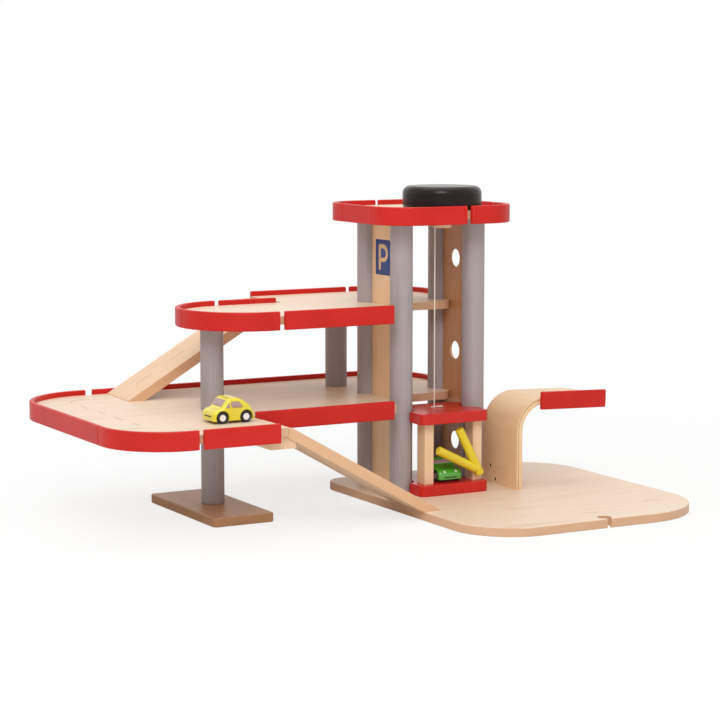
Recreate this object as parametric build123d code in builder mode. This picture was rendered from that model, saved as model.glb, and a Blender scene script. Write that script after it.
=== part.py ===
from build123d import *
import math
import os

# Toy parking garage with a hand-wound lift, modelled in millimetres.
# Frame: origin at the centre of the base board's underside, +X along the decks, +Y away from
# the side that the lift opens to, +Z up.
# Pieces: base and foot boards, two parking decks and a roof with edge rails, dowel columns,
# two shaft panels, lift cabin with barrier, hoist cord and winch, two ramps, canopy, two cars.

os.makedirs("parts", exist_ok=True)

# ---- boards on the ground -------------------------------------------------------------------
base_length = 334.0  # along X
base_width = 396.0  # along Y
board_thick = 11.0
base_radii = (75.0, 100.0, 80.0, 25.0)  # front left, front right, back right, back left
edge_ease = 1.2  # rounding of the long edges of every board
notch_radius = 8.5  # round seat for a road connector in the front edge of the base
notch_neck = 5.6
notch_inset = 11.0  # seat centre behind the front edge
notch_x = 1.5
foot_length, foot_width, foot_radius = 79.0, 186.0, 5.0
foot_shift_x = -2.8  # foot board centre from the foot column axis

# ---- columns --------------------------------------------------------------------------------
column_diameter = 28.0
column_ease = 0.6
tower_x, tower_y = -126.0, 69.0  # axis of the front left column of the lift tower
column_pitch_x, column_pitch_y = 103.7, 83.7
foot_column_x, foot_column_y = -234.7, 48.6  # from the front left tower column
rear_column_x, rear_column_y = -3.0, 164.4
column_gap = 0.3  # play of a column in a deck's cut-out

# ---- shaft panels ---------------------------------------------------------------------------
panel_thick = 3.5
groove_depth = 2.0  # of the groove in a column that holds a panel's edge
groove_play = 0.1
porthole_diameter = 23.0
porthole_ease = 0.5

# ---- decks ----------------------------------------------------------------------------------
deck_thick = 10.0
deck_1_top = 126.0
deck_2_top = 242.0
roof_top = 361.0
rail_thick, rail_height, rail_round, rail_end_round = 6.0, 22.5, 1.6, 1.2
rail_joint = 0.7  # where two rails meet
shaft_back = 44.0  # deck edge behind the lift, from the front column axes
shaft_left = 25.0  # front right corner of a deck, left of the front left column
shaft_corner = 14.0  # rounding of the deck beside a panel
right_corner = 9.0  # front right corner of each deck
inner_corner = 4.0

deck_1_left, deck_1_back, deck_1_right, deck_1_front = 418.0, 234.0, 129.0, 35.0
deck_1_bay = 132.0  # how far the left part reaches in front of the tower columns
deck_1_step = 222.5  # edge where the lower ramp hooks on
deck_1_radii = (72.0, 85.0, 72.0)  # front left, back left, back right
deck_1_corner = 3.0

deck_2_end_x, deck_2_end_y, deck_2_end_radius = 191.0, 50.0, 77.0  # round left end
deck_2_step, deck_2_back, deck_2_right, deck_2_back_radius = 100.0, 219.0, 124.0, 69.0
deck_2_corner = 3.0

# Rail ends along each board's edge, from the front left tower column.
deck_1_joint_y = -52.0
deck_1_front_joint = (-337.0, -331.0, -235.5)
deck_1_tower_rail = (-219.0, -32.0)
deck_1_back_joint = (-323.2, -313.6, 46.0, 52.0)
deck_2_arc_gap = 91.5  # direction of the rail's end on the round end, from +X
deck_2_rear_rail = (-186.6, -108.2)
deck_2_front_joint = (-183.0, -176.0, -28.0)
deck_2_back_joint = (-97.5, 42.0, 48.0)
right_rail_end = 16.0  # from the deck's edge beside the shaft
roof_left_joint = (0.0, 73.0)
roof_front_joint, roof_back_joint, roof_right_joint = (63.0, 70.0), (37.0, 42.0), (17.0, 23.0)

roof_left, roof_right, roof_front, roof_back, roof_radius = 37.0, 140.5, 46.0, 130.0, 44.0

# ---- ramps ----------------------------------------------------------------------------------
ramp_thick, ramp_width, ramp_gap, ramp_tip = 12.0, 78.5, 0.3, 0.8
ramp_landing, ramp_drop = 7.0, 2.0  # level part at the top end, and how far it lies under the deck's top
lower_ramp_run, lower_ramp_y = 196.0, -88.5  # sloping length along X, middle from the tower column
upper_ramp_run, upper_ramp_y, upper_ramp_skew = 188.5, 182.0, 3.0
cleat_under, cleat_out, cleat_deep, cleat_width = 20.0, 12.0, 15.5, 72.0

# ---- lift -----------------------------------------------------------------------------------
lift_plate_thick = 13.5
lift_side_gap = 1.5  # between plate and panel
lift_front, lift_back = 46.0, 40.0  # from the front column axes
lift_radius, lift_column_gap = 8.0, 2.0
lift_inner_height = 75.5
post_length, post_width, post_ease = 13.0, 20.0, 1.5
post_front = 34.0
post_left_x, post_right_x = 21.0, 90.5  # post centres from the front left column
gate_diameter, gate_bore_play = 11.0, 0.05
gate_x, gate_z = 88.0, 38.0  # pivot, from the front left column and the ground
high_arm_length, high_arm_angle = 60.0, 62.0  # from the pivot, above level
low_arm_length, low_arm_angle = 65.0, 26.3
gate_overrun = 6.0
gate_pin_diameter = 5.0
gate_pin_sunk, gate_pin_depth = 1.0, 14.0  # below the arm's face, and into the post
gate_chamfer = 0.9
gate_gap = 0.4

# ---- winch and cord -------------------------------------------------------------------------
winch_x, winch_y = 60.0, 4.0  # from the front left column
wheel_diameter, wheel_height, wheel_gap = 98.0, 28.0, 1.0
wheel_top_round, wheel_bottom_round = 9.0, 5.0
drum_diameter, drum_height = 24.8, 11.5
shaft_diameter, shaft_play = 8.0, 0.06
shaft_grip = 9.0  # depth of the shaft in the wheel, above the drum
collar_diameter, collar_height = 24.6, 12.7
winch_gap = 0.3  # play of the drum and the collar against the roof
cord_diameter = 1.8
cord_turns = 3
cord_side = 199.0  # angle about the winch axis where the cord comes down
cord_hole = 4.6
cavity_play = 2.5  # around the wound cord, inside the wheel
winding_lift = 1.6  # lowest turn above the drum's underside
cord_end_gap = 0.3
stitch_length, stitch_back = 17.0, 2.5

# ---- canopy ---------------------------------------------------------------------------------
canopy_x, canopy_front, canopy_width = 134.0, -57.0, 79.0  # from the front left column
canopy_thick, canopy_radius, canopy_height = 8.0, 42.0, 125.5
canopy_reach, canopy_droop, canopy_corner = 127.0, 1.8, 20.0
canopy_rail_start, canopy_rail_length = 33.5, 96.5
screw_head, screw_shank, screw_length = 5.0, 3.0, 20.0
screw_head_thick, screw_sunk, screw_play = 1.8, 1.2, 0.2
screw_seats = ((-6.5, 17.0), (5.5, 33.0))  # y from the front left column, z
canopy_block_y, canopy_block_z, canopy_block_x = 24.0, 28.0, 16.0
canopy_block_chamfer = 2.0

# ---- cars -----------------------------------------------------------------------------------
car_length, car_width, car_clear = 53.0, 34.0, 3.4
car_side_round = 4.5
tyre_diameter, tyre_width, hub_diameter = 14.0, 6.5, 7.5
axle_diameter, axle_play, wheel_well = 3.0, 0.06, 1.2
wheel_base = 30.0
yellow_x, yellow_y, yellow_height = -262.0, -54.0, 29.5
green_x, green_y, green_height = 52.5, -7.0, 27.0
glass_depth = 0.5
glass_pillar = 2.0  # between the two panes of a side window

# ---- derived values -------------------------------------------------------------------------
column_r = column_diameter / 2
ax, ay = tower_x, tower_y + column_pitch_y  # back left column
bx, by = tower_x, tower_y  # front left column
cx, cy = tower_x + column_pitch_x, tower_y + column_pitch_y  # back right column
dx, dy = tower_x + column_pitch_x, tower_y  # front right column
fx, fy = tower_x + foot_column_x, tower_y + foot_column_y
mx, my = tower_x + rear_column_x, tower_y + rear_column_y
roof_under = roof_top - deck_thick
slot = panel_thick + 2 * column_gap
panel_width = column_pitch_y - 2 * (column_r - groove_depth)
panel_mid = tower_y + column_pitch_y / 2
tower_tall = roof_under - board_thick
rail_out = rail_thick / 2
shaft_y = tower_y + shaft_back


def rail_plane(path):
    """Plane across a rail's path, with its X up."""
    return Plane(origin=path @ 0, x_dir=(0, 0, 1), z_dir=path % 0)


def rail_caps(part):
    """Edges of the two end faces of a rail."""
    return part.faces().filter_by(GeomType.PLANE).sort_by(SortBy.AREA)[:2].edges()


# ---- base and foot boards -------------------------------------------------------------------
with BuildPart() as base_board:
    with BuildSketch():
        with BuildLine():
            FilletPolyline(
                (-base_length / 2, -base_width / 2),
                (base_length / 2, -base_width / 2),
                (base_length / 2, base_width / 2),
                (-base_length / 2, base_width / 2),
                radius=list(base_radii),
                close=True,
            )
        make_face()
    extrude(amount=board_thick)
    fillet(base_board.faces().filter_by(Axis.Z).edges(), edge_ease)
    with BuildSketch():
        with Locations((notch_x, -base_width / 2 + notch_inset)):
            Circle(notch_radius)
        with Locations((notch_x, -base_width / 2 + notch_inset / 2 - 1)):
            Rectangle(notch_neck, notch_inset + 2)
    extrude(amount=board_thick, mode=Mode.SUBTRACT)
base_board.part.label = "base_board"
export_step(base_board.part, "parts/base_board.step")

with BuildPart() as foot_board:
    with BuildSketch(Plane((fx + foot_shift_x, fy, 0))):
        RectangleRounded(foot_length, foot_width, foot_radius)
    extrude(amount=board_thick)
    fillet(foot_board.faces().filter_by(Axis.Z).edges(), edge_ease)
foot_board.part.label = "foot_board"
export_step(foot_board.part, "parts/foot_board.step")

# ---- columns of the tower, grooved for the panels -------------------------------------------
with BuildPart() as column_front_left:
    with BuildSketch(Plane((bx, by, board_thick))):
        Circle(column_r)
        with Locations((0, column_r - groove_depth / 2)):
            Rectangle(panel_thick + 2 * groove_play, groove_depth, mode=Mode.SUBTRACT)
    extrude(amount=tower_tall)
column_front_left.part.label = "column_front_left"
export_step(column_front_left.part, "parts/column_front_left.step")

with BuildPart() as column_front_right:
    with BuildSketch(Plane((dx, dy, board_thick))):
        Circle(column_r)
        with Locations((0, column_r - groove_depth / 2)):
            Rectangle(panel_thick + 2 * groove_play, groove_depth, mode=Mode.SUBTRACT)
    extrude(amount=tower_tall)
column_front_right.part.label = "column_front_right"
export_step(column_front_right.part, "parts/column_front_right.step")

with BuildPart() as column_back_left:
    with BuildSketch(Plane((ax, ay, board_thick))):
        Circle(column_r)
        with Locations((0, groove_depth / 2 - column_r)):
            Rectangle(panel_thick + 2 * groove_play, groove_depth, mode=Mode.SUBTRACT)
    extrude(amount=tower_tall)
column_back_left.part.label = "column_back_left"
export_step(column_back_left.part, "parts/column_back_left.step")

with BuildPart() as column_back_right:
    with BuildSketch(Plane((cx, cy, board_thick))):
        Circle(column_r)
        with Locations((0, groove_depth / 2 - column_r)):
            Rectangle(panel_thick + 2 * groove_play, groove_depth, mode=Mode.SUBTRACT)
    extrude(amount=tower_tall)
column_back_right.part.label = "column_back_right"
export_step(column_back_right.part, "parts/column_back_right.step")

# ---- single columns under and between the decks ---------------------------------------------
with BuildPart() as column_foot:
    with BuildSketch(Plane((fx, fy, board_thick))):
        Circle(column_r)
    extrude(amount=deck_1_top - deck_thick - board_thick)
    chamfer(column_foot.edges().filter_by(GeomType.CIRCLE), column_ease)
column_foot.part.label = "column_foot"
export_step(column_foot.part, "parts/column_foot.step")

with BuildPart() as column_deck_left:
    with BuildSketch(Plane((fx, fy, deck_1_top))):
        Circle(column_r)
    extrude(amount=deck_2_top - deck_thick - deck_1_top)
    chamfer(column_deck_left.edges().filter_by(GeomType.CIRCLE), column_ease)
column_deck_left.part.label = "column_deck_left"
export_step(column_deck_left.part, "parts/column_deck_left.step")

with BuildPart() as column_deck_rear:
    with BuildSketch(Plane((mx, my, deck_1_top))):
        Circle(column_r)
    extrude(amount=deck_2_top - deck_thick - deck_1_top)
    chamfer(column_deck_rear.edges().filter_by(GeomType.CIRCLE), column_ease)
column_deck_rear.part.label = "column_deck_rear"
export_step(column_deck_rear.part, "parts/column_deck_rear.step")

# ---- shaft panels ---------------------------------------------------------------------------
with BuildPart() as panel_left:
    with BuildSketch(Plane((tower_x, panel_mid, board_thick))):
        Rectangle(panel_thick, panel_width)
    extrude(amount=tower_tall)
panel_left.part.label = "panel_left"
export_step(panel_left.part, "parts/panel_left.step")

storey_mids = (
    (board_thick + deck_1_top - deck_thick) / 2,
    (deck_1_top + deck_2_top - deck_thick) / 2,
    (deck_2_top + roof_under) / 2,
)
with BuildPart() as panel_right:
    with BuildSketch(Plane((dx, panel_mid, board_thick))):
        Rectangle(panel_thick, panel_width)
    extrude(amount=tower_tall)
    with BuildSketch(Plane(origin=(dx - panel_thick, panel_mid, 0), x_dir=(0, 1, 0), z_dir=(1, 0, 0))):
        with Locations(*[(0, z) for z in storey_mids]):
            Circle(porthole_diameter / 2)
    extrude(amount=2 * panel_thick, mode=Mode.SUBTRACT)
    chamfer(panel_right.edges().filter_by(GeomType.CIRCLE), porthole_ease)
panel_right.part.label = "panel_right"
export_step(panel_right.part, "parts/panel_right.step")

# ---- deck 1: L-shaped board with a bay at the left for the lower ramp ------------------------
d1_left, d1_right = tower_x - deck_1_left, tower_x + deck_1_right
d1_back, d1_front, d1_bay = tower_y + deck_1_back, tower_y - deck_1_front, tower_y - deck_1_bay
d1_step = tower_x - deck_1_step
with BuildPart() as deck_1_board:
    with BuildSketch(Plane.XY.offset(deck_1_top - deck_thick)) as d1:
        with BuildLine():
            FilletPolyline(
                (d1_left, d1_bay),
                (d1_step, d1_bay),
                (d1_step, d1_front),
                (bx - shaft_left, d1_front),
                (bx - shaft_left, by),
                (bx, by),
                (bx, shaft_y),
                (d1_right, shaft_y),
                (d1_right, d1_back),
                (d1_left, d1_back),
                radius=[
                    deck_1_radii[0],
                    deck_1_corner,
                    deck_1_corner,
                    inner_corner,
                    inner_corner,
                    inner_corner,
                    inner_corner,
                    right_corner,
                    deck_1_radii[2],
                    deck_1_radii[1],
                ],
                close=True,
            )
        make_face()
        with Locations((bx, by), (ax, ay), (cx, cy)):
            Circle(column_r + column_gap, mode=Mode.SUBTRACT)
        with Locations((bx, panel_mid), (cx, panel_mid)):
            Rectangle(slot, column_pitch_y, mode=Mode.SUBTRACT)
        with Locations((bx, (by + shaft_y) / 2)):
            Rectangle(slot, shaft_back, mode=Mode.SUBTRACT)
        fillet(d1.vertices().sort_by_distance((cx - slot / 2, shaft_y))[0], shaft_corner)
        fillet(d1.vertices().sort_by_distance((cx + slot / 2, shaft_y))[0], inner_corner)
    extrude(amount=deck_thick)
deck_1_board.part.label = "deck_1_board"
export_step(deck_1_board.part, "parts/deck_1_board.step")

mid_1 = deck_1_top - deck_thick / 2
out_l, out_r = d1_left - rail_out, d1_right + rail_out
out_b, out_f, out_bay = d1_back + rail_out, d1_front - rail_out, d1_bay - rail_out
joint_1 = tower_y + deck_1_joint_y

with BuildPart() as deck_1_rail_back_left:
    with BuildLine() as path:
        FilletPolyline(
            (tower_x + deck_1_back_joint[0], out_b, mid_1),
            (out_l, out_b, mid_1),
            (out_l, joint_1 + rail_joint / 2, mid_1),
            radius=deck_1_radii[1] + rail_out,
        )
    with BuildSketch(rail_plane(path.wire())):
        RectangleRounded(rail_height, rail_thick, rail_round)
    sweep()
    fillet(rail_caps(deck_1_rail_back_left), rail_end_round)
deck_1_rail_back_left.part.label = "deck_1_rail_back_left"
export_step(deck_1_rail_back_left.part, "parts/deck_1_rail_back_left.step")

with BuildPart() as deck_1_rail_front_left:
    with BuildLine() as path:
        FilletPolyline(
            (out_l, joint_1 - rail_joint / 2, mid_1),
            (out_l, out_bay, mid_1),
            (tower_x + deck_1_front_joint[0], out_bay, mid_1),
            radius=deck_1_radii[0] + rail_out,
        )
    with BuildSketch(rail_plane(path.wire())):
        RectangleRounded(rail_height, rail_thick, rail_round)
    sweep()
    fillet(rail_caps(deck_1_rail_front_left), rail_end_round)
deck_1_rail_front_left.part.label = "deck_1_rail_front_left"
export_step(deck_1_rail_front_left.part, "parts/deck_1_rail_front_left.step")

with BuildPart() as deck_1_rail_front:
    with BuildLine() as path:
        Line(
            (tower_x + deck_1_front_joint[1], out_bay, mid_1),
            (tower_x + deck_1_front_joint[2], out_bay, mid_1),
        )
    with BuildSketch(rail_plane(path.wire())):
        RectangleRounded(rail_height, rail_thick, rail_round)
    sweep()
    fillet(rail_caps(deck_1_rail_front), rail_end_round)
deck_1_rail_front.part.label = "deck_1_rail_front"
export_step(deck_1_rail_front.part, "parts/deck_1_rail_front.step")

with BuildPart() as deck_1_rail_tower:
    with BuildLine() as path:
        Line(
            (tower_x + deck_1_tower_rail[0], out_f, mid_1),
            (tower_x + deck_1_tower_rail[1], out_f, mid_1),
        )
    with BuildSketch(rail_plane(path.wire())):
        RectangleRounded(rail_height, rail_thick, rail_round)
    sweep()
    fillet(rail_caps(deck_1_rail_tower), rail_end_round)
deck_1_rail_tower.part.label = "deck_1_rail_tower"
export_step(deck_1_rail_tower.part, "parts/deck_1_rail_tower.step")

with BuildPart() as deck_1_rail_back:
    with BuildLine() as path:
        Line(
            (tower_x + deck_1_back_joint[1], out_b, mid_1),
            (tower_x + deck_1_back_joint[2], out_b, mid_1),
        )
    with BuildSketch(rail_plane(path.wire())):
        RectangleRounded(rail_height, rail_thick, rail_round)
    sweep()
    fillet(rail_caps(deck_1_rail_back), rail_end_round)
deck_1_rail_back.part.label = "deck_1_rail_back"
export_step(deck_1_rail_back.part, "parts/deck_1_rail_back.step")

with BuildPart() as deck_1_rail_back_right:
    with BuildLine() as path:
        FilletPolyline(
            (tower_x + deck_1_back_joint[3], out_b, mid_1),
            (out_r, out_b, mid_1),
            (out_r, shaft_y + right_rail_end, mid_1),
            radius=deck_1_radii[2] + rail_out,
        )
    with BuildSketch(rail_plane(path.wire())):
        RectangleRounded(rail_height, rail_thick, rail_round)
    sweep()
    fillet(rail_caps(deck_1_rail_back_right), rail_end_round)
deck_1_rail_back_right.part.label = "deck_1_rail_back_right"
export_step(deck_1_rail_back_right.part, "parts/deck_1_rail_back_right.step")

# ---- deck 2: smaller, with a half-round left end and a step for the upper ramp ---------------
ex, ey = tower_x - deck_2_end_x, tower_y + deck_2_end_y
d2_front, d2_rear = ey - deck_2_end_radius, ey + deck_2_end_radius
d2_step, d2_back, d2_right = tower_x - deck_2_step, tower_y + deck_2_back, tower_x + deck_2_right
with BuildPart() as deck_2_board:
    with BuildSketch(Plane.XY.offset(deck_2_top - deck_thick)) as d2:
        with BuildLine():
            CenterArc((ex, ey), deck_2_end_radius, 90, 180)
            FilletPolyline(
                (ex, d2_front),
                (bx - shaft_left, d2_front),
                (bx - shaft_left, by),
                (bx, by),
                (bx, shaft_y),
                (d2_right, shaft_y),
                (d2_right, d2_back),
                (d2_step, d2_back),
                (d2_step, d2_rear),
                (ex, d2_rear),
                radius=[
                    inner_corner,
                    inner_corner,
                    inner_corner,
                    inner_corner,
                    right_corner,
                    deck_2_back_radius,
                    deck_2_corner,
                    inner_corner,
                ],
            )
        make_face()
        with Locations((bx, by), (ax, ay), (cx, cy)):
            Circle(column_r + column_gap, mode=Mode.SUBTRACT)
        with Locations((bx, panel_mid), (cx, panel_mid)):
            Rectangle(slot, column_pitch_y, mode=Mode.SUBTRACT)
        with Locations((bx, (by + shaft_y) / 2)):
            Rectangle(slot, shaft_back, mode=Mode.SUBTRACT)
        fillet(d2.vertices().sort_by_distance((cx - slot / 2, shaft_y))[0], shaft_corner)
        fillet(d2.vertices().sort_by_distance((cx + slot / 2, shaft_y))[0], inner_corner)
    extrude(amount=deck_thick)
deck_2_board.part.label = "deck_2_board"
export_step(deck_2_board.part, "parts/deck_2_board.step")

mid_2 = deck_2_top - deck_thick / 2
arc_radius = deck_2_end_radius + rail_out
half_joint = math.degrees(rail_joint / 2 / arc_radius)

with BuildPart() as deck_2_rail_left_back:
    with BuildLine() as path:
        CenterArc((ex, ey, mid_2), arc_radius, deck_2_arc_gap, 180 - deck_2_arc_gap - half_joint)
    with BuildSketch(rail_plane(path.wire())):
        RectangleRounded(rail_height, rail_thick, rail_round)
    sweep()
    fillet(rail_caps(deck_2_rail_left_back), rail_end_round)
deck_2_rail_left_back.part.label = "deck_2_rail_left_back"
export_step(deck_2_rail_left_back.part, "parts/deck_2_rail_left_back.step")

with BuildPart() as deck_2_rail_left_front:
    with BuildLine() as path:
        bend = CenterArc((ex, ey, mid_2), arc_radius, 180 + half_joint, 90 - half_joint)
        Line(bend @ 1, (tower_x + deck_2_front_joint[0], ey - arc_radius, mid_2))
    with BuildSketch(rail_plane(path.wire())):
        RectangleRounded(rail_height, rail_thick, rail_round)
    sweep()
    fillet(rail_caps(deck_2_rail_left_front), rail_end_round)
deck_2_rail_left_front.part.label = "deck_2_rail_left_front"
export_step(deck_2_rail_left_front.part, "parts/deck_2_rail_left_front.step")

with BuildPart() as deck_2_rail_rear:
    with BuildLine() as path:
        Line(
            (tower_x + deck_2_rear_rail[0], ey + arc_radius, mid_2),
            (tower_x + deck_2_rear_rail[1], ey + arc_radius, mid_2),
        )
    with BuildSketch(rail_plane(path.wire())):
        RectangleRounded(rail_height, rail_thick, rail_round)
    sweep()
    fillet(rail_caps(deck_2_rail_rear), rail_end_round)
deck_2_rail_rear.part.label = "deck_2_rail_rear"
export_step(deck_2_rail_rear.part, "parts/deck_2_rail_rear.step")

with BuildPart() as deck_2_rail_front:
    with BuildLine() as path:
        Line(
            (tower_x + deck_2_front_joint[1], ey - arc_radius, mid_2),
            (tower_x + deck_2_front_joint[2], ey - arc_radius, mid_2),
        )
    with BuildSketch(rail_plane(path.wire())):
        RectangleRounded(rail_height, rail_thick, rail_round)
    sweep()
    fillet(rail_caps(deck_2_rail_front), rail_end_round)
deck_2_rail_front.part.label = "deck_2_rail_front"
export_step(deck_2_rail_front.part, "parts/deck_2_rail_front.step")

with BuildPart() as deck_2_rail_back:
    with BuildLine() as path:
        Line(
            (tower_x + deck_2_back_joint[0], d2_back + rail_out, mid_2),
            (tower_x + deck_2_back_joint[1], d2_back + rail_out, mid_2),
        )
    with BuildSketch(rail_plane(path.wire())):
        RectangleRounded(rail_height, rail_thick, rail_round)
    sweep()
    fillet(rail_caps(deck_2_rail_back), rail_end_round)
deck_2_rail_back.part.label = "deck_2_rail_back"
export_step(deck_2_rail_back.part, "parts/deck_2_rail_back.step")

with BuildPart() as deck_2_rail_back_right:
    with BuildLine() as path:
        FilletPolyline(
            (tower_x + deck_2_back_joint[2], d2_back + rail_out, mid_2),
            (d2_right + rail_out, d2_back + rail_out, mid_2),
            (d2_right + rail_out, shaft_y + right_rail_end, mid_2),
            radius=deck_2_back_radius + rail_out,
        )
    with BuildSketch(rail_plane(path.wire())):
        RectangleRounded(rail_height, rail_thick, rail_round)
    sweep()
    fillet(rail_caps(deck_2_rail_back_right), rail_end_round)
deck_2_rail_back_right.part.label = "deck_2_rail_back_right"
export_step(deck_2_rail_back_right.part, "parts/deck_2_rail_back_right.step")

# ---- roof -----------------------------------------------------------------------------------
rl, rr = tower_x - roof_left, tower_x + roof_right
rf, rb = tower_y - roof_front, tower_y + roof_back
wx, wy = tower_x + winch_x, tower_y + winch_y
drum_r, cord_r, shaft_r = drum_diameter / 2, cord_diameter / 2, shaft_diameter / 2
cord_reach = drum_r + cord_r
cord_x = wx + cord_reach * math.cos(math.radians(cord_side))
cord_y = wy + cord_reach * math.sin(math.radians(cord_side))
with BuildPart() as roof_board:
    with BuildSketch(Plane(((rl + rr) / 2, (rf + rb) / 2, roof_under))):
        RectangleRounded(rr - rl, rb - rf, roof_radius)
    extrude(amount=deck_thick)
    with BuildSketch(Plane.XY.offset(roof_under)):
        with Locations((wx, wy)):
            Circle(shaft_r + shaft_play)
        with Locations((cord_x, cord_y)):
            Circle(cord_hole / 2)
    extrude(amount=deck_thick, mode=Mode.SUBTRACT)
roof_board.part.label = "roof_board"
export_step(roof_board.part, "parts/roof_board.step")

mid_r = roof_top - deck_thick / 2
ro_l, ro_r, ro_f, ro_b = rl - rail_out, rr + rail_out, rf - rail_out, rb + rail_out
roof_bend = roof_radius + rail_out

with BuildPart() as roof_rail_left:
    with BuildLine() as path:
        Line(
            (ro_l, tower_y + roof_left_joint[0] + rail_joint / 2, mid_r),
            (ro_l, tower_y + roof_left_joint[1] - rail_joint / 2, mid_r),
        )
    with BuildSketch(rail_plane(path.wire())):
        RectangleRounded(rail_height, rail_thick, rail_round)
    sweep()
    fillet(rail_caps(roof_rail_left), rail_end_round)
roof_rail_left.part.label = "roof_rail_left"
export_step(roof_rail_left.part, "parts/roof_rail_left.step")

with BuildPart() as roof_rail_front_left:
    with BuildLine() as path:
        FilletPolyline(
            (ro_l, tower_y + roof_left_joint[0] - rail_joint / 2, mid_r),
            (ro_l, ro_f, mid_r),
            (tower_x + roof_front_joint[0], ro_f, mid_r),
            radius=roof_bend,
        )
    with BuildSketch(rail_plane(path.wire())):
        RectangleRounded(rail_height, rail_thick, rail_round)
    sweep()
    fillet(rail_caps(roof_rail_front_left), rail_end_round)
roof_rail_front_left.part.label = "roof_rail_front_left"
export_step(roof_rail_front_left.part, "parts/roof_rail_front_left.step")

with BuildPart() as roof_rail_front_right:
    with BuildLine() as path:
        FilletPolyline(
            (tower_x + roof_front_joint[1], ro_f, mid_r),
            (ro_r, ro_f, mid_r),
            (ro_r, tower_y + roof_right_joint[0], mid_r),
            radius=roof_bend,
        )
    with BuildSketch(rail_plane(path.wire())):
        RectangleRounded(rail_height, rail_thick, rail_round)
    sweep()
    fillet(rail_caps(roof_rail_front_right), rail_end_round)
roof_rail_front_right.part.label = "roof_rail_front_right"
export_step(roof_rail_front_right.part, "parts/roof_rail_front_right.step")

with BuildPart() as roof_rail_back_right:
    with BuildLine() as path:
        FilletPolyline(
            (ro_r, tower_y + roof_right_joint[1], mid_r),
            (ro_r, ro_b, mid_r),
            (tower_x + roof_back_joint[1], ro_b, mid_r),
            radius=roof_bend,
        )
    with BuildSketch(rail_plane(path.wire())):
        RectangleRounded(rail_height, rail_thick, rail_round)
    sweep()
    fillet(rail_caps(roof_rail_back_right), rail_end_round)
roof_rail_back_right.part.label = "roof_rail_back_right"
export_step(roof_rail_back_right.part, "parts/roof_rail_back_right.step")

with BuildPart() as roof_rail_back_left:
    with BuildLine() as path:
        FilletPolyline(
            (tower_x + roof_back_joint[0], ro_b, mid_r),
            (ro_l, ro_b, mid_r),
            (ro_l, tower_y + roof_left_joint[1] + rail_joint / 2, mid_r),
            radius=roof_bend,
        )
    with BuildSketch(rail_plane(path.wire())):
        RectangleRounded(rail_height, rail_thick, rail_round)
    sweep()
    fillet(rail_caps(roof_rail_back_left), rail_end_round)
roof_rail_back_left.part.label = "roof_rail_back_left"
export_step(roof_rail_back_left.part, "parts/roof_rail_back_left.step")

# ---- ramps and the cleats that carry their top ends -----------------------------------------
level_1 = deck_1_top - ramp_drop
lower_angle = math.atan2(level_1 - board_thick - ramp_tip, lower_ramp_run)
lower_x = d1_step + ramp_gap
lower_end = lower_x + ramp_landing + lower_ramp_run
lower_contact = (ramp_thick - ramp_tip * math.cos(lower_angle)) / math.sin(lower_angle)
lower_under = board_thick + (lower_end - lower_contact - lower_x) * math.tan(lower_angle)
with BuildPart() as ramp_lower:
    with BuildSketch(Plane.XZ.offset(-tower_y - lower_ramp_y)):
        with BuildLine():
            Polyline(
                (lower_x, level_1),
                (lower_x + ramp_landing, level_1),
                (lower_end, board_thick + ramp_tip),
                (lower_end, board_thick),
                (lower_end - lower_contact, board_thick),
                (lower_x, lower_under),
                close=True,
            )
        make_face()
    extrude(amount=ramp_width / 2, both=True)
ramp_lower.part.label = "ramp_lower"
export_step(ramp_lower.part, "parts/ramp_lower.step")

cleat_low = deck_1_top - deck_thick - cleat_deep
with BuildPart() as ramp_cleat_lower:
    with BuildSketch(Plane.XZ.offset(-tower_y - lower_ramp_y)):
        with BuildLine():
            Polyline(
                (d1_step - cleat_under, cleat_low),
                (d1_step + cleat_out, cleat_low),
                (d1_step + cleat_out, lower_under - (cleat_out - ramp_gap) * math.tan(lower_angle)),
                (lower_x, lower_under),
                (d1_step, lower_under),
                (d1_step, deck_1_top - deck_thick),
                (d1_step - cleat_under, deck_1_top - deck_thick),
                close=True,
            )
        make_face()
    extrude(amount=cleat_width / 2, both=True)
ramp_cleat_lower.part.label = "ramp_cleat_lower"
export_step(ramp_cleat_lower.part, "parts/ramp_cleat_lower.step")

# The upper ramp lies a little askew, its top end clear of the step by the corner that turns in.
level_2 = deck_2_top - ramp_drop
skew = math.radians(upper_ramp_skew)
upper_angle = math.atan2(level_2 - deck_1_top - ramp_tip, upper_ramp_run)
upper_x = ramp_gap + ramp_width / 2 * math.tan(skew)
upper_end = upper_x + ramp_landing + upper_ramp_run
upper_contact = (ramp_thick - ramp_tip * math.cos(upper_angle)) / math.sin(upper_angle)
upper_under = deck_1_top + (upper_end - upper_contact - upper_x) * math.tan(upper_angle)
upper_plane = Plane(
    origin=(d2_step, tower_y + upper_ramp_y, 0),
    x_dir=(-math.cos(skew), math.sin(skew), 0),
    z_dir=(math.sin(skew), math.cos(skew), 0),
)
with BuildPart() as ramp_upper:
    with BuildSketch(upper_plane):
        with BuildLine():
            Polyline(
                (upper_x, level_2),
                (upper_x + ramp_landing, level_2),
                (upper_end, deck_1_top + ramp_tip),
                (upper_end, deck_1_top),
                (upper_end - upper_contact, deck_1_top),
                (upper_x, upper_under),
                close=True,
            )
        make_face()
    extrude(amount=ramp_width / 2, both=True)
ramp_upper.part.label = "ramp_upper"
export_step(ramp_upper.part, "parts/ramp_upper.step")

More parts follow.
